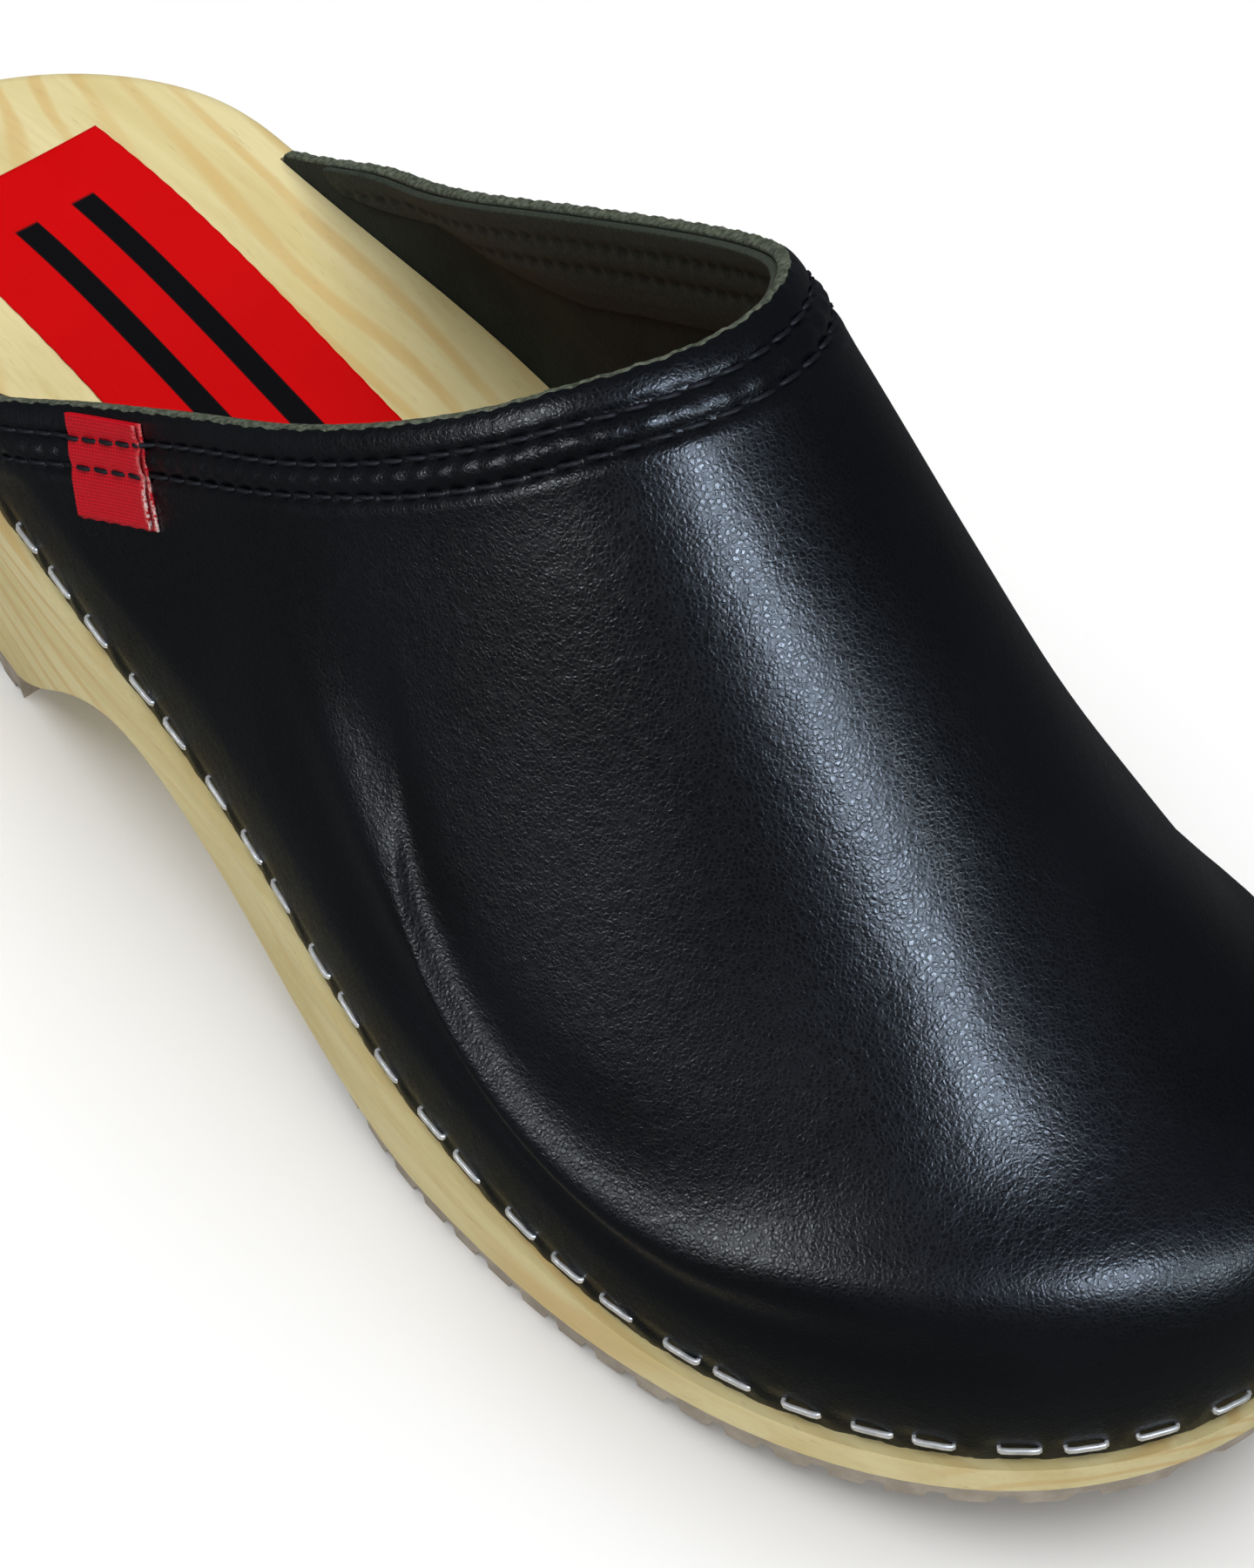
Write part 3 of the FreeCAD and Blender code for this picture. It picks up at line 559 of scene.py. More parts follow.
# %% Rows crowded where the detail is
near_rim = np.arange(0, 10.4, 0.4)
near_edge = np.arange(0, 7.2, 0.5)
between = np.linspace(0, 1, 52)[1:-1]
total = gone[:, -1:]
top_part = np.minimum(near_rim[None, :] / lean_top[:, None], total * 0.55 * near_rim[None, :] / 10)
low_part = np.minimum(near_edge[None, :] / lean_low[:, None], total * 0.3 * near_edge[None, :] / 7)
start, stop = top_part[:, -1:], total - low_part[:, -1:]
wanted = np.hstack([top_part, start + (stop - start) * between[None, :], total - low_part[:, ::-1]])
spot = np.clip((gone[:, None, :] <= wanted[:, :, None] + 1e-9).sum(-1) - 1, 0, PROBE - 2)
low_g, high_g = np.take_along_axis(gone, spot, 1), np.take_along_axis(gone, spot + 1, 1)
share = (spot + (wanted - low_g) / (high_g - low_g)) / (PROBE - 1)
share = np.clip(share, 0, 1)
sheet = outer_face(*column_point(share))


def grid_normals(grid):
    """Unit normals of a grid of points, from its own neighbours."""
    return unit(np.cross(np.gradient(grid, axis=0), np.gradient(grid, axis=1)))


skin = grid_normals(sheet)
if skin[COLUMNS // 2, 40, 2] < 0:
    skin = -skin
drop = wanted * lean_top[:, None]
rise = (total - wanted) * lean_low[:, None]
print("leather grid", sheet.shape[:2], "crown normal", np.round(skin[COLUMNS // 2, 20], 2))

# %% Press the sheet: furrows, welt, dents and unevenness
FIRST_ROW, SECOND_ROW, STITCH_GAP, ROW_END_MARGIN = 3.6, 7.4, 3.4, 2.2
RIDGE_STATIONS, RIDGE_HEIGHTS, RIDGE_START = [150, 175, 201, 240, 255], [52, 50, 45, 36, 30], 162


def bell(x, width):
    """A smooth hill of height 1 that fades over width."""
    return np.exp(-(x / width) ** 2)


rim_run = np.repeat((edge_run / ROW_RUN[-1] * RIM_LENGTH)[:, None], sheet.shape[1], 1)
from_tip = np.minimum(rim_run, RIM_LENGTH - rim_run)


def stitch_wave(run, row, phase=0.0):
    """A wave along a row, from 1 at the middle of every stitch to -1 between two."""
    return np.cos(2 * np.pi * (run - ROW_END_MARGIN * row) / STITCH_GAP + phase)


def row_strength(row):
    """1 along a row of stitching, fading where the row stops short of the tips."""
    return np.clip((from_tip - ROW_END_MARGIN * row + 3) / 4, 0, 1)


furrow = np.zeros_like(drop)
for row in (FIRST_ROW, SECOND_ROW):
    beat = 0.5 + 0.5 * stitch_wave(rim_run, row)
    furrow -= row_strength(row) * (0.34 + 0.22 * (1 - beat)) * bell(drop - row, 0.60)
welt = 0.34 * bell(drop - (FIRST_ROW + SECOND_ROW) / 2, 1.15) * row_strength(SECOND_ROW)
welt *= 1 - 0.28 * stitch_wave(rim_run, FIRST_ROW, 0.35 * np.sin(rim_run / 9))
below_rows = 0.16 * bell(drop - 9.2, 1.1) * row_strength(SECOND_ROW)
rolled = -0.5 * np.exp(-drop / 0.7)

away = edge_run[:, None] - staple_run[None, :]
under_staple = np.exp(-(np.abs(away) / 3.0) ** 4).max(1)[:, None]
beside_staple = np.clip(1 - under_staple, 0, 1)
dent = -0.34 * under_staple * bell(rise - STAPLE_RISE, 1.5)
pucker = 0.20 * beside_staple * bell(rise - 1.6, 2.2)
x, y, z = sheet[..., 0], sheet[..., 1], sheet[..., 2]
uneven = 0.05 * (np.sin(x / 7.1 + 1.3 * np.sin(y / 17)) * np.sin(y / 11.3 + 0.7) + np.sin(y / 23 + z / 13))
uneven *= np.clip(drop / 12, 0, 1) * np.clip(rise / 12, 0, 1)
ridge_rise = np.interp(edge_s, RIDGE_STATIONS, RIDGE_HEIGHTS)[:, None]
ridge_strength = np.clip((edge_s - RIDGE_START) / 40, 0, 1)[:, None] * np.clip((drop - 14) / 20, 0, 1)
ridge = ridge_strength * (1.20 * bell(rise - ridge_rise, 7.0) - 0.70 * bell(rise - ridge_rise + 14, 8.0)
                          - 0.55 * bell(rise - ridge_rise - 15, 9.0))
pressed = sheet + skin * (furrow + welt + below_rows + rolled + dent + pucker + uneven + ridge)[..., None]
ragged = 0.16 * np.sin(edge_run * 1.9) + 0.12 * np.sin(edge_run * 4.3 + 1) + 0.1 * np.sin(edge_run * 0.7)
pressed[..., 2] += ragged[:, None] * np.exp(-rise / 1.2)
rim_wave = 0.10 * np.sin(rim_run * 1.3) + 0.08 * np.sin(rim_run * 3.1 + 2)
pressed -= (rim_wave * np.exp(-drop / 0.8))[..., None] * down[:, None, :]
print("deepest furrow", round(float(furrow.min()), 2), "mm, welt", round(float(welt.max()), 2), "mm")

# %% [markdown]
# ## Closing the sheet
# The flesh side is the same grid moved inwards by the leather's thickness. Joining the two along the
# rim and along the edge with a few extra rows gives a cut edge with slightly rounded corners. Each
# column then is a closed loop, so the whole sheet is one watertight tube with a cap at each tip.


# %% The upper
EDGE_ROWS = 5


def closed_loops(outer, inner, bulge_start, bulge_end, rounds=EDGE_ROWS):
    """Loops of points: outer rows, a rounded end, inner rows back, and a rounded start."""
    angle = np.linspace(0, np.pi, rounds + 2)[1:-1]
    side = squared_off(np.cos(angle), 0.55)
    push = np.abs(np.sin(angle)) ** 0.7

    def rounded(first, second, bulge):
        middle, half = (first + second) / 2, (first - second) / 2
        return middle[:, None] + half[:, None] * side[None, :, None] + bulge[:, None] * push[None, :, None]

    end = rounded(outer[:, -1], inner[:, -1], bulge_end)
    begin = rounded(inner[:, 0], outer[:, 0], bulge_start)
    return np.concatenate([outer, end, inner[:, ::-1], begin], 1)


flesh = (sheet - skin * (LEATHER - 0.05))[:, ::2]
loops = closed_loops(pressed, flesh, -down * 0.35, last_step * 0.35)
rows_out, rows_in = sheet.shape[1], flesh.shape[1]
column_of = np.tile(np.arange(loops.shape[1]), COLUMNS - 1)
on_flesh = (column_of >= rows_out + EDGE_ROWS) & (column_of < rows_out + EDGE_ROWS + rows_in - 1)
which = np.where(column_of < rows_out - 1, 0, np.where(on_flesh, 2, 1))
# Share of the low wall, 1 near the stapled edge: it adds roughness and the green tint of a painted
# reflection.
wall = np.exp(-(np.clip(rise - 6, 0, None) / 14) ** 2)
low_edge, mouth_edge = np.tile(wall[:, -1:], (1, EDGE_ROWS)), np.tile(wall[:, :1], (1, EDGE_ROWS))
height_on_wall = np.hstack([wall, low_edge, wall[:, ::-2], mouth_edge])
print(len(which), "quads in the leather")

# %% [markdown]
# ## Black leather, its cut edge and its flesh side
# The face is aniline-dyed hide with a satin polish: nearly black, faintly blue, with a fine pebble
# of pores that breaks up the highlight. Voronoi cells make the pebble and two sizes of noise vary
# the gloss. Its colour also holds painted light: the low wall near the wood is tinted green as a
# painted reflection, and the crevices between pebbles are a little darker as painted shade. The cut
# edge and the flesh side never took the polish, so they stay grey-green and dull.

# %% Leather finishes
hide = Finish("black_leather", specular_ior_level=0.42)
cloud = hide.noise(26, 2)
fine = hide.noise(1.6, 4)
pores = hide.cells(0.62).ease(0.0, 0.30)
creases = hide.noise(1.7, 5, distortion=0.5).ease(0.40, 0.66)
low_wall = hide.value("low_wall")
dye_and_painted_light = hide.blend(cloud.ease(0.35, 0.7), (0.0016, 0.0018, 0.0030), (0.0032, 0.0036, 0.0058))
# Painted reflection: the low wall is tinted green for the light it would mirror.
dye_and_painted_light = hide.blend(low_wall * 0.75, dye_and_painted_light, (0.0016, 0.0036, 0.0032))
# Painted shade: the crevices between the pebbles are darkened a little.
dye_and_painted_light = hide.blend((1 - pores) * 0.35, dye_and_painted_light, (0.002, 0.002, 0.003))
gloss = 0.27 + (fine - 0.5) * 0.10 + (cloud - 0.5) * 0.08 + (1 - pores) * 0.10 + low_wall * 0.08
soft = hide.bump(hide.noise(11, 2), 0.10)
grained = hide.bump(creases, 0.020, under=soft)
grained = hide.bump(pores, 0.016, under=grained)
grained = hide.bump(hide.noise(0.30, 2), 0.020, under=grained)
leather_face = hide.wear(base_color=dye_and_painted_light, roughness=gloss, normal=grained)

flank = Finish("cut_leather_edge", specular_ior_level=0.2)
fibres = flank.noise(0.7, 4)
flank_colour = flank.blend(fibres.ease(0.3, 0.75), (0.035, 0.043, 0.030), (0.120, 0.135, 0.100))
cut_edge = flank.wear(base_color=flank_colour, roughness=0.80 + fibres * 0.15,
                      normal=flank.bump(fibres, 0.18))

flesh_side = Finish("flesh_side", specular_ior_level=0.12, sheen_weight=0.08, sheen_roughness=0.6)
nap = flesh_side.noise(0.55, 5, roughness=0.7)
drift = flesh_side.noise(7, 3)
brushed = flesh_side.blend(drift.ease(0.3, 0.75), (0.004, 0.0085, 0.004), (0.010, 0.019, 0.009))
brushed = flesh_side.blend(nap.ease(0.5, 0.8) * 0.6, brushed, (0.026, 0.041, 0.021))
suede = flesh_side.wear(base_color=brushed, roughness=0.88 + nap * 0.1, normal=flesh_side.bump(nap, 0.3))

make_tube("leather_upper", loops, [leather_face, cut_edge, suede], "upper_leather", ["upper"],
          which=which, values={"low_wall": height_on_wall})

# %% [markdown]
# ## The collar strip inside the mouth
# A narrow strip of split leather doubles the mouth where the stitches pass through. It is made as
# the upper is, from places below the rim at two depths, and the thread's inner side dimples it.

# %% Collar
COLLAR_PLACES, COLLAR_ROWS, COLLAR_WIDE, COLLAR_END_MARGIN = 520, 34, 14.0, 10.0
collar_run = np.linspace(COLLAR_END_MARGIN, RIM_LENGTH - COLLAR_END_MARGIN, COLLAR_PLACES)
from_end = np.minimum(collar_run, RIM_LENGTH - collar_run)
collar_depth = np.minimum(COLLAR_WIDE, 1.6 + 0.2 * from_end)
collar_drop = 0.2 + (collar_depth[:, None] - 0.2) * np.linspace(0, 1, COLLAR_ROWS)[None, :]
collar_a, collar_f = below_rim(np.repeat(collar_run[:, None], COLLAR_ROWS, 1), collar_drop)
collar_skin = outward(collar_a, collar_f)
collar_face = outer_face(collar_a, collar_f)
dimple = np.zeros_like(collar_drop)
for row in (FIRST_ROW, SECOND_ROW):
    beat = stitch_wave(collar_run, row)[:, None]
    ends = np.clip((from_end - ROW_END_MARGIN * row) / 3, 0, 1)[:, None]
    dimple += ends * (0.30 - 0.22 * beat) * bell(collar_drop - row, 0.75)
outer_strip = collar_face - collar_skin * (LEATHER + 0.04)
skived = 0.6 * np.clip((collar_drop - collar_depth[:, None] + 3) / 3, 0, 1)
inner_strip = collar_face - collar_skin * (LEATHER + 1.05 - dimple - skived)[..., None]
strip_down = unit(outer_strip[:, 2] - outer_strip[:, 0])
strip = closed_loops(outer_strip, inner_strip, -strip_down * 0.15, strip_down * 0.15, 3)

band = Finish("collar_split_leather", specular_ior_level=0.15, sheen_weight=0.08, sheen_roughness=0.6)
band_nap = band.noise(0.6, 5, roughness=0.7)
band_colour = band.blend(band_nap.ease(0.3, 0.75), (0.006, 0.012, 0.006), (0.026, 0.040, 0.022))
band_leather = band.wear(base_color=band_colour, roughness=0.85 + band_nap * 0.1,
                         normal=band.bump(band_nap, 0.25))
make_tube("collar_strip", strip, [band_leather], "lining_leather", ["collar_reinforcement"])

# %% [markdown]
# ## Tubes along paths
# A stitch and a staple are the same kind of thing: a small section carried along a short path. One
# function builds hundreds of them at once, as an array of shape (pieces, path, section).


# %% Many small swept bodies in one mesh
def swept(centres, side, lift, section):
    """Bodies whose section (across, up) is carried along centres (piece, path point, xyz)."""
    ring_points = (centres[:, :, None, :] + side[:, :, None, :] * section[..., 0][..., None]
                   + lift[:, :, None, :] * section[..., 1][..., None])
    pieces, steps, around = ring_points.shape[:3]
    base = np.arange(pieces) * steps * around
    faces = (quads(steps, around, ring=True)[None] + base[:, None, None]).reshape(-1, 4)
    caps = [b + np.arange(around)[::-1] for b in base]
    caps += [b + (steps - 1) * around + np.arange(around) for b in base]
    return ring_points.reshape(-1, 3), faces, caps


# %% [markdown]
# ## Stitching
# Waxed thread dives into the leather at both ends of every stitch. The path of a stitch is a low
# arch over its furrow, and the section is round with a slow twist of two plies. Over the tag the
# stitches ride higher, on the cloth.

# %% Tag place and stitches
TAG_WIDE, TAG_TALL, TAG_STATION = 14.5, 13.0, 90.5
HALF_STITCH, THREAD_RADIUS = 1.50, 0.31
outer_half = slice(RIM_PLACES // 2 + 1)
tag_middle = float(np.interp(TAG_STATION - APEX, RIM_FORWARD[outer_half], RIM_RUN[outer_half]))

thread = Finish("waxed_thread", specular_ior_level=0.35)
wax = thread.noise(0.5, 3)
thread_black = thread.wear(base_color=thread.blend(wax, (0.003, 0.003, 0.005), (0.010, 0.010, 0.014)),
                           roughness=0.45 + wax * 0.25, normal=thread.bump(wax, 0.05))

along = np.linspace(-1, 1, 8)[None, :]
round_angle = np.linspace(0, 2 * np.pi, 7)[:-1]
for row, name in ((FIRST_ROW, "topline_stitch_upper_row"), (SECOND_ROW, "topline_stitch_lower_row")):
    stitch_run = np.arange(ROW_END_MARGIN * row, RIM_LENGTH - ROW_END_MARGIN * row, STITCH_GAP)
    wander = row + 0.12 * np.sin(stitch_run * 1.7)
    run = stitch_run[:, None] + HALF_STITCH * along
    a, f = below_rim(run, wander[:, None] + 0.10 * along)
    n = outward(a, f)
    on_tag = np.clip((TAG_WIDE / 2 + 0.6 - np.abs(run - tag_middle)) / 0.8, 0, 1)
    arch = -0.08 - 0.60 * np.abs(along) ** 4 + on_tag * 0.98
    centre = outer_face(a, f) + n * arch[..., None]
    side = unit(np.cross(n, np.gradient(centre, axis=1)))
    twist = round_angle[None, None, :] * 2 + along[..., None] * 7 + stitch_run[:, None, None]
    radius = THREAD_RADIUS * (1 + 0.13 * np.cos(twist)) * (1 - 0.25 * np.abs(along[..., None]) ** 6)
    section = np.stack([radius * np.cos(round_angle), radius * np.sin(round_angle)], -1)
    points, faces, caps = swept(centre, side, n, section)
    make_piece(name + "_thread", points, faces, [thread_black], "thread", [name], caps=caps)

# %% [markdown]
# ## The side tag
# A short red ribbon, folded in two and caught under both rows of stitches. It is one continuous
# strip: the upper leaf, a tight fold on the heel side, and the lower leaf. The ribbon gets its
# woven look from coordinates that run along and across it, stored on the mesh.

# %% Folded ribbon
TAG_ROWS, LEAF_PLACES, HALF_RIBBON = 29, 30, 0.17
LOW_LEAF, HIGH_LEAF, LEAF_STEP, FOLD_MIDDLE, FOLD_RADIUS = 0.22, 0.70, 0.48, 0.46, 0.24
across_tag = np.linspace(0, TAG_TALL, TAG_ROWS)
leaf = np.linspace(0, TAG_WIDE - 0.4, LEAF_PLACES)
fold = np.linspace(0, np.pi, 7)[1:-1]
strip_x = np.r_[TAG_WIDE - leaf, 0.4 - 0.3 * np.sin(fold), leaf + 0.4][::-1]
strip_z = np.r_[np.full(LEAF_PLACES, LOW_LEAF), FOLD_MIDDLE - FOLD_RADIUS * np.cos(fold),
                np.full(LEAF_PLACES, HIGH_LEAF)][::-1]
place_x, place_down = np.meshgrid(strip_x, across_tag, indexing="ij")
lean = 0.035 * (place_x - TAG_WIDE / 2)
lift = np.repeat(strip_z[:, None], TAG_ROWS, 1)
upper_leaf = np.clip((lift - LOW_LEAF) / LEAF_STEP, 0, 1)
hem = 0.08 * np.sin(place_x * 2.6) * np.clip(place_down - 12, 0, 1) - 0.5 * upper_leaf * (place_down > 12.9)
tag_a, tag_f = below_rim(tag_middle - TAG_WIDE / 2 + place_x, 0.9 + place_down + lean + hem)
tag_skin = outward(tag_a, tag_f)
sewn = sum(bell(place_down + 0.9 - row, 0.8) for row in (FIRST_ROW, SECOND_ROW))
curl = 0.55 * np.clip(place_x - 11, 0, 4) ** 2 / 16 * (1 - 0.5 * sewn) * upper_leaf
puff_up = 0.16 * np.sin(np.pi * place_down / TAG_TALL) * upper_leaf
height = lift - 0.30 * sewn * upper_leaf + curl + puff_up
ribbon_line = outer_face(tag_a, tag_f) + tag_skin * height[..., None]
ribbon_skin = grid_normals(ribbon_line)
flat_end = np.zeros((len(ribbon_line), 3))
ribbon = closed_loops(ribbon_line + ribbon_skin * HALF_RIBBON, ribbon_line - ribbon_skin * HALF_RIBBON,
                      flat_end, flat_end, 1)
along_ribbon = np.repeat(np.arange(len(ribbon))[:, None] * 0.45, ribbon.shape[1], 1)
across_ribbon = np.tile(np.r_[across_tag, TAG_TALL, across_tag[::-1], 0], (len(ribbon), 1))
cut_end = bell(strip_x - TAG_WIDE, 0.40)[:, None] * np.clip((across_ribbon - 4) / 6, 0.15, 1)

ribbon_finish = Finish("red_woven_ribbon", specular_ior_level=0.15)
warp = (ribbon_finish.value("across") / 0.42).wave()
weft = (ribbon_finish.value("along") / 0.55).wave()
weave = warp * 0.6 + weft * 0.4
fray = ribbon_finish.noise(0.45, 3).ease(0.4, 0.6)
cloth = ribbon_finish.blend(weave, (0.28, 0.001, 0.005), (0.60, 0.004, 0.014))
cloth = ribbon_finish.blend(ribbon_finish.noise(3).ease(0.5, 0.75) * 0.3, cloth, (0.40, 0.004, 0.01))
cloth = ribbon_finish.blend(ribbon_finish.value("cut_end") * fray, cloth, (0.80, 0.62, 0.60))
ribbon_cloth = ribbon_finish.wear(base_color=cloth, roughness=0.78 + weave * 0.1,
                                  normal=ribbon_finish.bump(weave, 0.07))
tag = make_tube("side_tag_ribbon", ribbon, [ribbon_cloth], "tag_cloth", ["side_tag"],
                values={"along": along_ribbon, "across": across_ribbon, "cut_end": cut_end})

# %% [markdown]
# ## Staples
# Bright wire, a little flattened, bent square and driven in by hand: the crown lies on the leather
# in its own dent, and the legs dive into the hide. Only their first part is made, as the rest is
# never seen. Each staple tilts a little.

# %% Staples round the edge
seat, inward = on_edge(staple_run, STAPLE_RISE)
run_way = unit(on_edge(staple_run + 1)[0] - on_edge(staple_run - 1)[0])
tilt = np.radians(3.0 * np.sin(1.7 * order))[:, None]
run_way = run_way * np.cos(tilt) + np.cross(inward, run_way) * np.sin(tilt)
stand = np.cross(run_way, inward)
stand *= np.sign(stand[:, 2:]) / np.linalg.norm(stand, axis=1, keepdims=True)
half_crown = (STAPLE_WIDE - STAPLE_WIRE) / 2
wire_u = half_crown * np.array([-1, -1, -0.98, -0.88, -0.5, 0, 0.5, 0.88, 0.98, 1, 1])
wire_v = np.array([-1.6, -0.30, 0.02, 0.17, 0.23, 0.21, 0.23, 0.17, 0.02, -0.30, -1.6])
bow = 1 + 0.25 * np.sin(order * 3.1)[:, None]
wire_path = (seat[:, None] + run_way[:, None] * wire_u[None, :, None]
             - inward[:, None] * (wire_v[None, :] * np.where(wire_v > 0, bow, 1))[..., None])
flat_u, flat_v = np.gradient(wire_u), np.gradient(wire_v)
flat_length = np.hypot(flat_u, flat_v)
across_wire = (-inward[:, None] * (flat_u / flat_length)[None, :, None]
               - run_way[:, None] * (flat_v / flat_length)[None, :, None])
corner = np.radians([20, 70, 110, 160, 200, 250, 290, 340])
wire_section = np.stack([0.26 * squared_off(np.cos(corner), 0.45),
                         0.50 * squared_off(np.sin(corner), 0.45)], -1)
along_edge = np.broadcast_to(stand[:, None], wire_path.shape)

wire = Finish("bright_staple_wire", metallic=0.55)
smear = wire.noise(1.4, 3)
wire_colour = wire.blend(smear.ease(0.35, 0.7), (0.86, 0.87, 0.88), (0.62, 0.63, 0.64))
staple_wire = wire.wear(base_color=wire_colour, roughness=0.26 + smear * 0.22, normal=wire.bump(smear, 0.03))
TOE_FROM, TOE_TO = 0.36, 0.64
sides = {"staples_lateral": staple_share < TOE_FROM,
         "staples_toe": (staple_share >= TOE_FROM) & (staple_share < TOE_TO),
         "staples_medial": staple_share >= TOE_TO}
for name, chosen in sides.items():
    section = np.broadcast_to(wire_section, (*wire_path[chosen].shape[:2], *wire_section.shape))
    points, faces, caps = swept(wire_path[chosen], across_wire[chosen], along_edge[chosen], section)
    make_piece(name + "_wire", points, faces, [staple_wire], "staple_steel", [name], caps=caps)

# %% [markdown]
# ## The label on the footbed
# A long printed film is pressed on the wood. It follows the dished footbed, and shows only a pair
# of plain black stripes along its middle.

# %% Printed film
LABEL_X, LABEL_WIDE, LABEL_FROM, LABEL_TO = -1.8, 30.0, 24.5, 150.0
FILM_ROWS, FILM_COLUMNS, DISH = 221, 61, 3.2


def footbed_height(x, station):
    """The footbed: its edge line, less a dish that is deepest in the middle and fades as x squared."""
    return footbed_edge(station) - DISH * (1 - np.minimum(x * x / BALL ** 2, 2.0))


film_x = LABEL_X + LABEL_WIDE * np.linspace(-0.5, 0.5, FILM_COLUMNS)
film_s = np.linspace(LABEL_FROM, LABEL_TO, FILM_ROWS)
xs, ss = np.meshgrid(film_x, film_s)
nibble = 0.04 * np.sin(ss * 1.7) * bell(np.abs(xs - LABEL_X) - 15, 0.4)
film_top = in_frame(np.stack([xs + nibble, ss, footbed_height(xs, ss) + 0.24], -1))
film_low = film_top - np.array([0, 0, 0.2])
bulge = np.tile([0.05, 0, 0], (FILM_ROWS, 1))
film = closed_loops(film_top, film_low, -bulge, bulge, 1)
film_across = np.tile(np.r_[film_x, film_x[-1], film_x[::-1], film_x[0]] - LABEL_X, (FILM_ROWS, 1))
film_along = np.repeat((film_s / LABEL_TO)[:, None], film.shape[1], 1)

printed = Finish("red_printed_film", specular_ior_level=0.08)
side_x, down_x = printed.value("film_across"), printed.value("film_along")
STRIPE_OUT, STRIPE_HALF, STRIPE_START = 4.6, 1.7, 0.235
stripe = 1 - abs(abs(side_x) - STRIPE_OUT).ease(STRIPE_HALF, STRIPE_HALF + 0.25)
stripe = stripe * down_x.ease(STRIPE_START, 0.24)
print_grain = printed.noise(0.5, 3)
red = printed.blend(printed.noise(14, 2), (0.50, 0.001, 0.002), (0.57, 0.002, 0.003))
red = printed.blend(print_grain.ease(0.62, 0.72) * 0.10, red, (0.30, 0.002, 0.003))
black_on_red = printed.blend(stripe, red, (0.004, 0.004, 0.005))
wood_under = printed.noise(1.0, 3, where=printed.stretched(1.2, 0.08, 1.0))
film_finish = printed.wear(base_color=black_on_red, roughness=0.42 + print_grain * 0.12,
                           normal=printed.bump(wood_under, 0.05))
make_tube("footbed_label_film", film, [film_finish], "label_film", ["footbed_label"],
          values={"film_across": film_across, "film_along": film_along})

# %% [markdown]
# ## Pale wood
# The sole is carved from one block, so the same growth rings show as arches on the footbed and as
# long lines on the sides. Rings are circles round a pith that runs along the sole and leans a little
# against its length; noise makes them wander. Fine fibres run lengthwise, and a thin satin lacquer
# lies over it all.

# %% Wood finish on the sole
def dress(material, *names):
    """Gives a finish to nodes that keep the engineering model's own shape."""
    for name in names:
        for slot in frame["nodes"][name].material_slots:
            slot.material = material


RING_GAP, RING_LEAN = 3.6, 0.080
timber = Finish("pale_sole_wood", specular_ior_level=0.4, coat_weight=0.12, coat_roughness=0.35)
warped = timber.node("VectorMath", {"operation": "ADD"}, {
    0: timber.here,
    1: timber.node("VectorMath", {"operation": "SCALE"}, {
        0: timber.node("TexNoise", {},
                       {"Vector": timber.stretched(1, 0.16, 1), "Scale": 1 / 30, "Detail": 2.0},
                       output=1), "Scale": 13.0})})
from_pith = timber.node("VectorMath", {"operation": "MULTIPLY_ADD"}, {
    0: warped, 1: (1.0, 0.0, 1.0), 2: (9.0, 0.0, -6.0)})
lean_line = timber.node("SeparateXYZ", {}, {0: warped}, output=1)
radius = timber.node("VectorMath", {"operation": "LENGTH"}, {0: from_pith}, output=1) - lean_line * RING_LEAN
late = (radius / RING_GAP).wave().ease(0.60, 1.0) * timber.noise(40, 2).ease(0.25, 0.6)
fibre = timber.noise(0.9, 4, where=timber.stretched(1.0, 0.03, 1.0))
streak = timber.noise(5, 3, where=timber.stretched(1.0, 0.05, 1.0))
pale = timber.blend(streak.ease(0.3, 0.75), (0.69, 0.605, 0.325), (0.61, 0.51, 0.235))
ochre = timber.blend(late * 0.62, pale, (0.58, 0.38, 0.13))
grain_colour = timber.blend(fibre.ease(0.45, 0.8) * 0.22, ochre, (0.46, 0.31, 0.13))
fleck = timber.noise(0.6, 2, where=timber.stretched(1.0, 0.10, 1.0)).ease(0.66, 0.74)
grain_colour = timber.blend(fleck * 0.25, grain_colour, (0.36, 0.24, 0.11))
wood = timber.wear(base_color=grain_colour, roughness=0.46 + fibre * 0.16 + late * 0.05,
                   normal=timber.bump(fibre, 0.06, under=timber.bump(timber.noise(18, 2), 0.10)))
dress(wood, "wooden_sole")
print("wood rings about", RING_GAP, "mm apart")

# %% [markdown]
# ## Rubber and the hidden stiffener
# Moulded rubber is matte and slightly mottled, with light specks of dust. The ribs themselves are
# already in the engineering model. The stiffener is out of sight in the toe.

# %% Rubber finish
tread = Finish("taupe_rubber", specular_ior_level=0.3)
mottle = tread.noise(3.5, 4)
speck = tread.noise(0.4, 2)
taupe = tread.blend(mottle.ease(0.35, 0.7), (0.29, 0.25, 0.20), (0.38, 0.33, 0.27))
taupe = tread.blend(speck.ease(0.6, 0.75) * 0.4, taupe, (0.45, 0.41, 0.35))
rubber = tread.wear(base_color=taupe, roughness=0.72 + mottle * 0.2, normal=tread.bump(speck, 0.05))
stiff = Finish("toe_stiffener_board")
board = stiff.noise(1.2, 4)
stiffener = stiff.wear(base_color=stiff.blend(board, (0.70, 0.67, 0.60), (0.78, 0.75, 0.68)),
                       roughness=0.85 + board * 0.1, normal=stiff.bump(board, 0.06))
dress(rubber, "forefoot_outsole", "heel_lift")
dress(stiffener, "toe_puff")

# %% [markdown]
# ## Floor, light and camera
# A plain pale floor and large soft lamps, as for a catalogue. Black leather shows only what it
# mirrors, so three small lamps are there only to be mirrored: one draws the highlight down the
# instep, one glints on the toe and one at the side follows the ridge. The floor and the two large
# lamps are kept out of mirrors, which would turn the black leather grey.

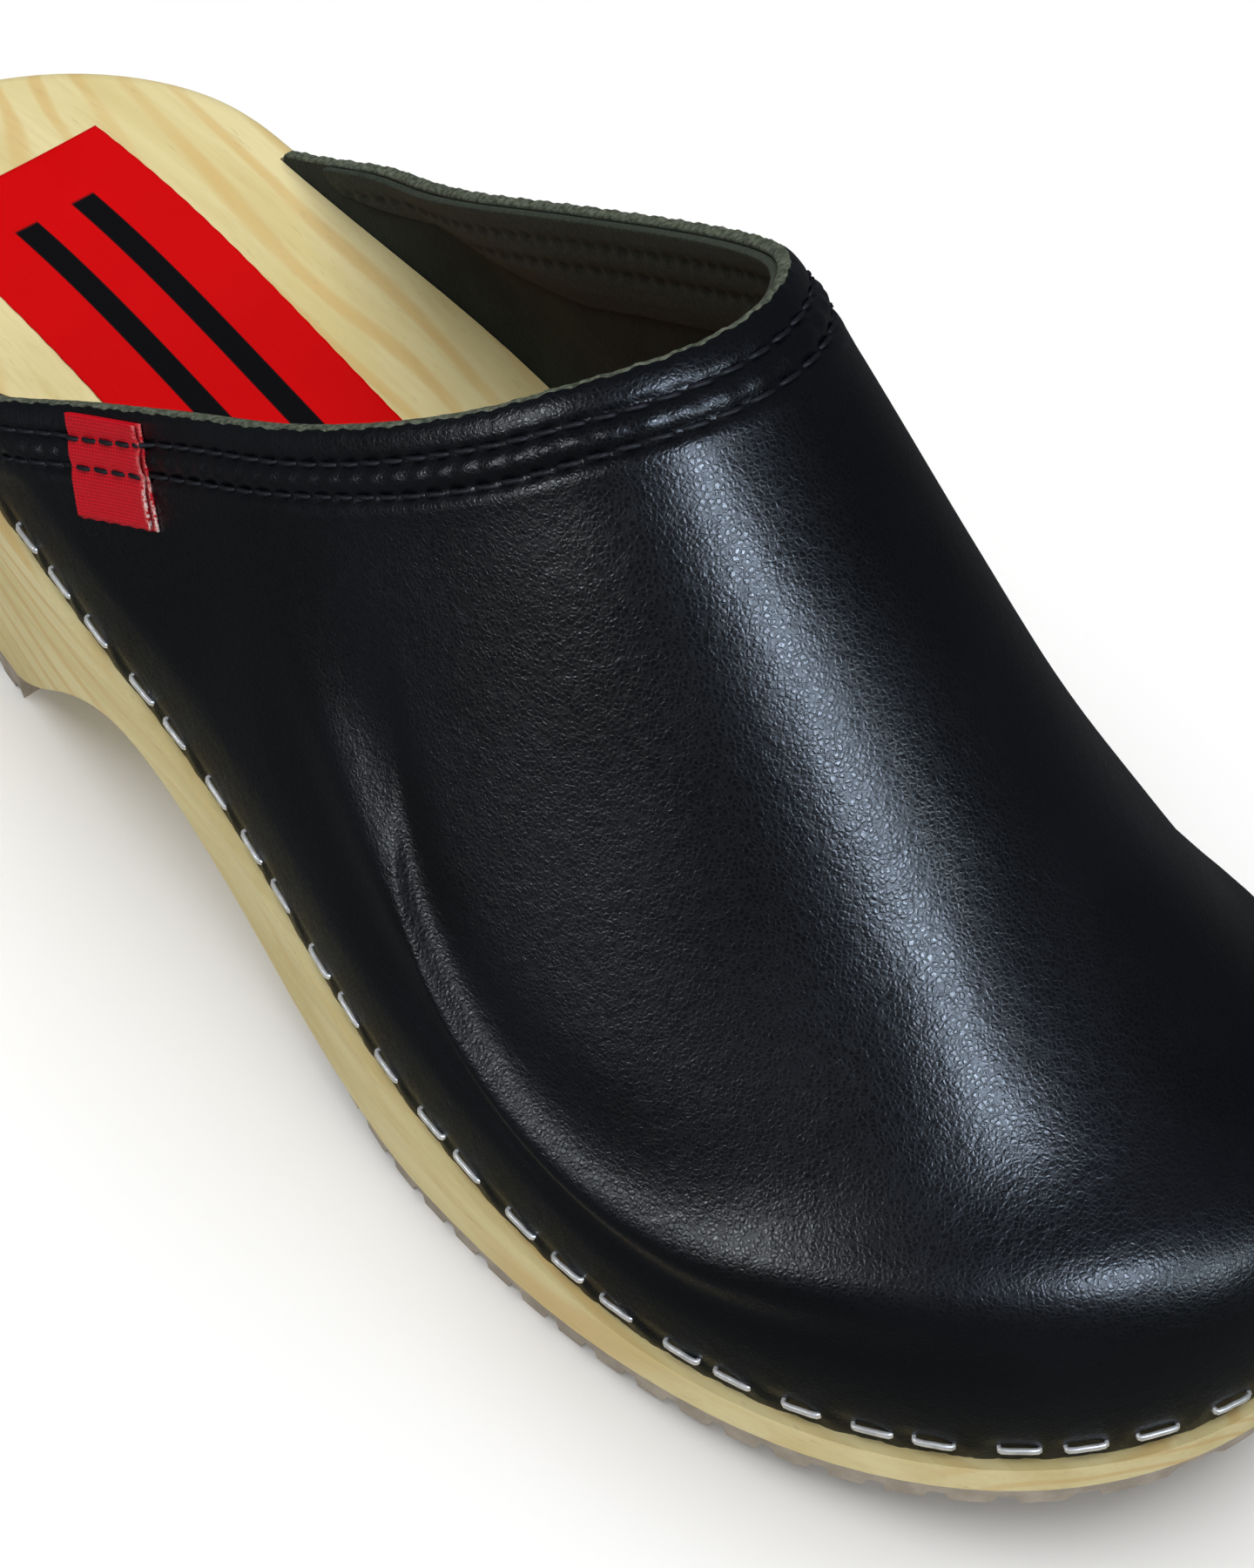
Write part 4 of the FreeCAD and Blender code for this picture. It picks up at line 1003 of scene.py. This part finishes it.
# %% Floor
FLOOR = 6
floor_mesh = bpy.data.meshes.new("floor")
floor_mesh.from_pydata([(-FLOOR, -FLOOR, 0), (FLOOR, -FLOOR, 0), (FLOOR, FLOOR, 0), (-FLOOR, FLOOR, 0)],
                       [], [(0, 1, 2, 3)])
floor = bpy.data.objects.new("floor", floor_mesh)
bpy.context.scene.collection.objects.link(floor)
paper = Finish("pale_floor", roughness=0.9, specular_ior_level=0.05)
floor_mesh.materials.append(paper.wear(base_color=paper.blend(paper.noise(400, 1), (0.93, 0.93, 0.93),
                                                              (0.90, 0.90, 0.90))))


# %% Lamps and room
def soft_lamp(name, at, aim, size, power, colour=(1, 1, 1), long_way=(1, 0, 0)):
    """A rectangular area lamp at a place in metres, turned towards aim, its first side along long_way."""
    data = bpy.data.lights.new(name, "AREA")
    data.shape, data.size, data.size_y = "RECTANGLE", size[0], size[1]
    data.energy, data.color = power, colour
    lamp = bpy.data.objects.new(name, data)
    bpy.context.scene.collection.objects.link(lamp)
    back = (Vector(at) - Vector(aim)).normalized()
    side = (Vector(long_way) - back * back.dot(Vector(long_way))).normalized()
    axes = Matrix((side, back.cross(side), back)).transposed()
    lamp.matrix_world = Matrix.Translation(at) @ axes.to_4x4()
    return lamp


overhead = soft_lamp("overhead", (0.1, 0.2, 1.6), (0, 0, 0), (2.2, 2.2), 42)
overhead.visible_glossy = False
glints = [
    soft_lamp("front_window", (-0.53, -0.90, 0.76), (-0.01, -0.06, 0.085), (0.22, 0.17), 11,
              (0.66, 0.80, 1.0), (-0.76, 0, -0.65)),
    soft_lamp("toe_glint", (-0.06, -1.22, 0.42), (0, -0.11, 0.04), (0.20, 0.10), 4.5, (0.70, 0.86, 1.0)),
    soft_lamp("low_side", (-1.17, 0.22, 0.36), (0, -0.06, 0.04), (0.20, 0.10), 3.5, (0.90, 0.95, 1.0),
              (0, 1, 0))]
for glint in glints:
    glint.visible_diffuse = False
floor.visible_glossy = False
fill = soft_lamp("wood_fill", (-1.0, -0.9, 0.55), (0, 0, 0.02), (0.9, 0.6), 7, (1.0, 0.98, 0.95))
fill.visible_glossy = False
room = bpy.data.worlds.new("room")
room.use_nodes = True
room.node_tree.nodes["Background"].inputs["Color"].default_value = (0.9, 0.95, 1.0, 1.0)
room.node_tree.nodes["Background"].inputs["Strength"].default_value = 0.07
bpy.context.scene.world = room
bpy.context.scene.view_settings.view_transform = "Standard"

# %% Camera
right = Vector((0.73796811, -0.67404391, 0.03267851))
upward = Vector((0.51199107, 0.59077841, 0.62357519))
forward = Vector((0.43962281, 0.44344749, -0.78108009))
lens = bpy.data.cameras.new("catalogue_camera")
lens.lens, lens.sensor_width, lens.clip_start = 70.35, 36.0, 0.01
camera = bpy.data.objects.new("catalogue_camera", lens)
bpy.context.scene.collection.objects.link(camera)
turned = Matrix((right, upward, -forward)).transposed().to_4x4()
CAMERA_PLACE = Vector((-0.16567, -0.18862, 0.32500))
camera.matrix_world = Matrix.Translation(CAMERA_PLACE) @ turned
bpy.context.scene.camera = camera
print("camera is", round(CAMERA_PLACE.length / MM), "mm from the origin")
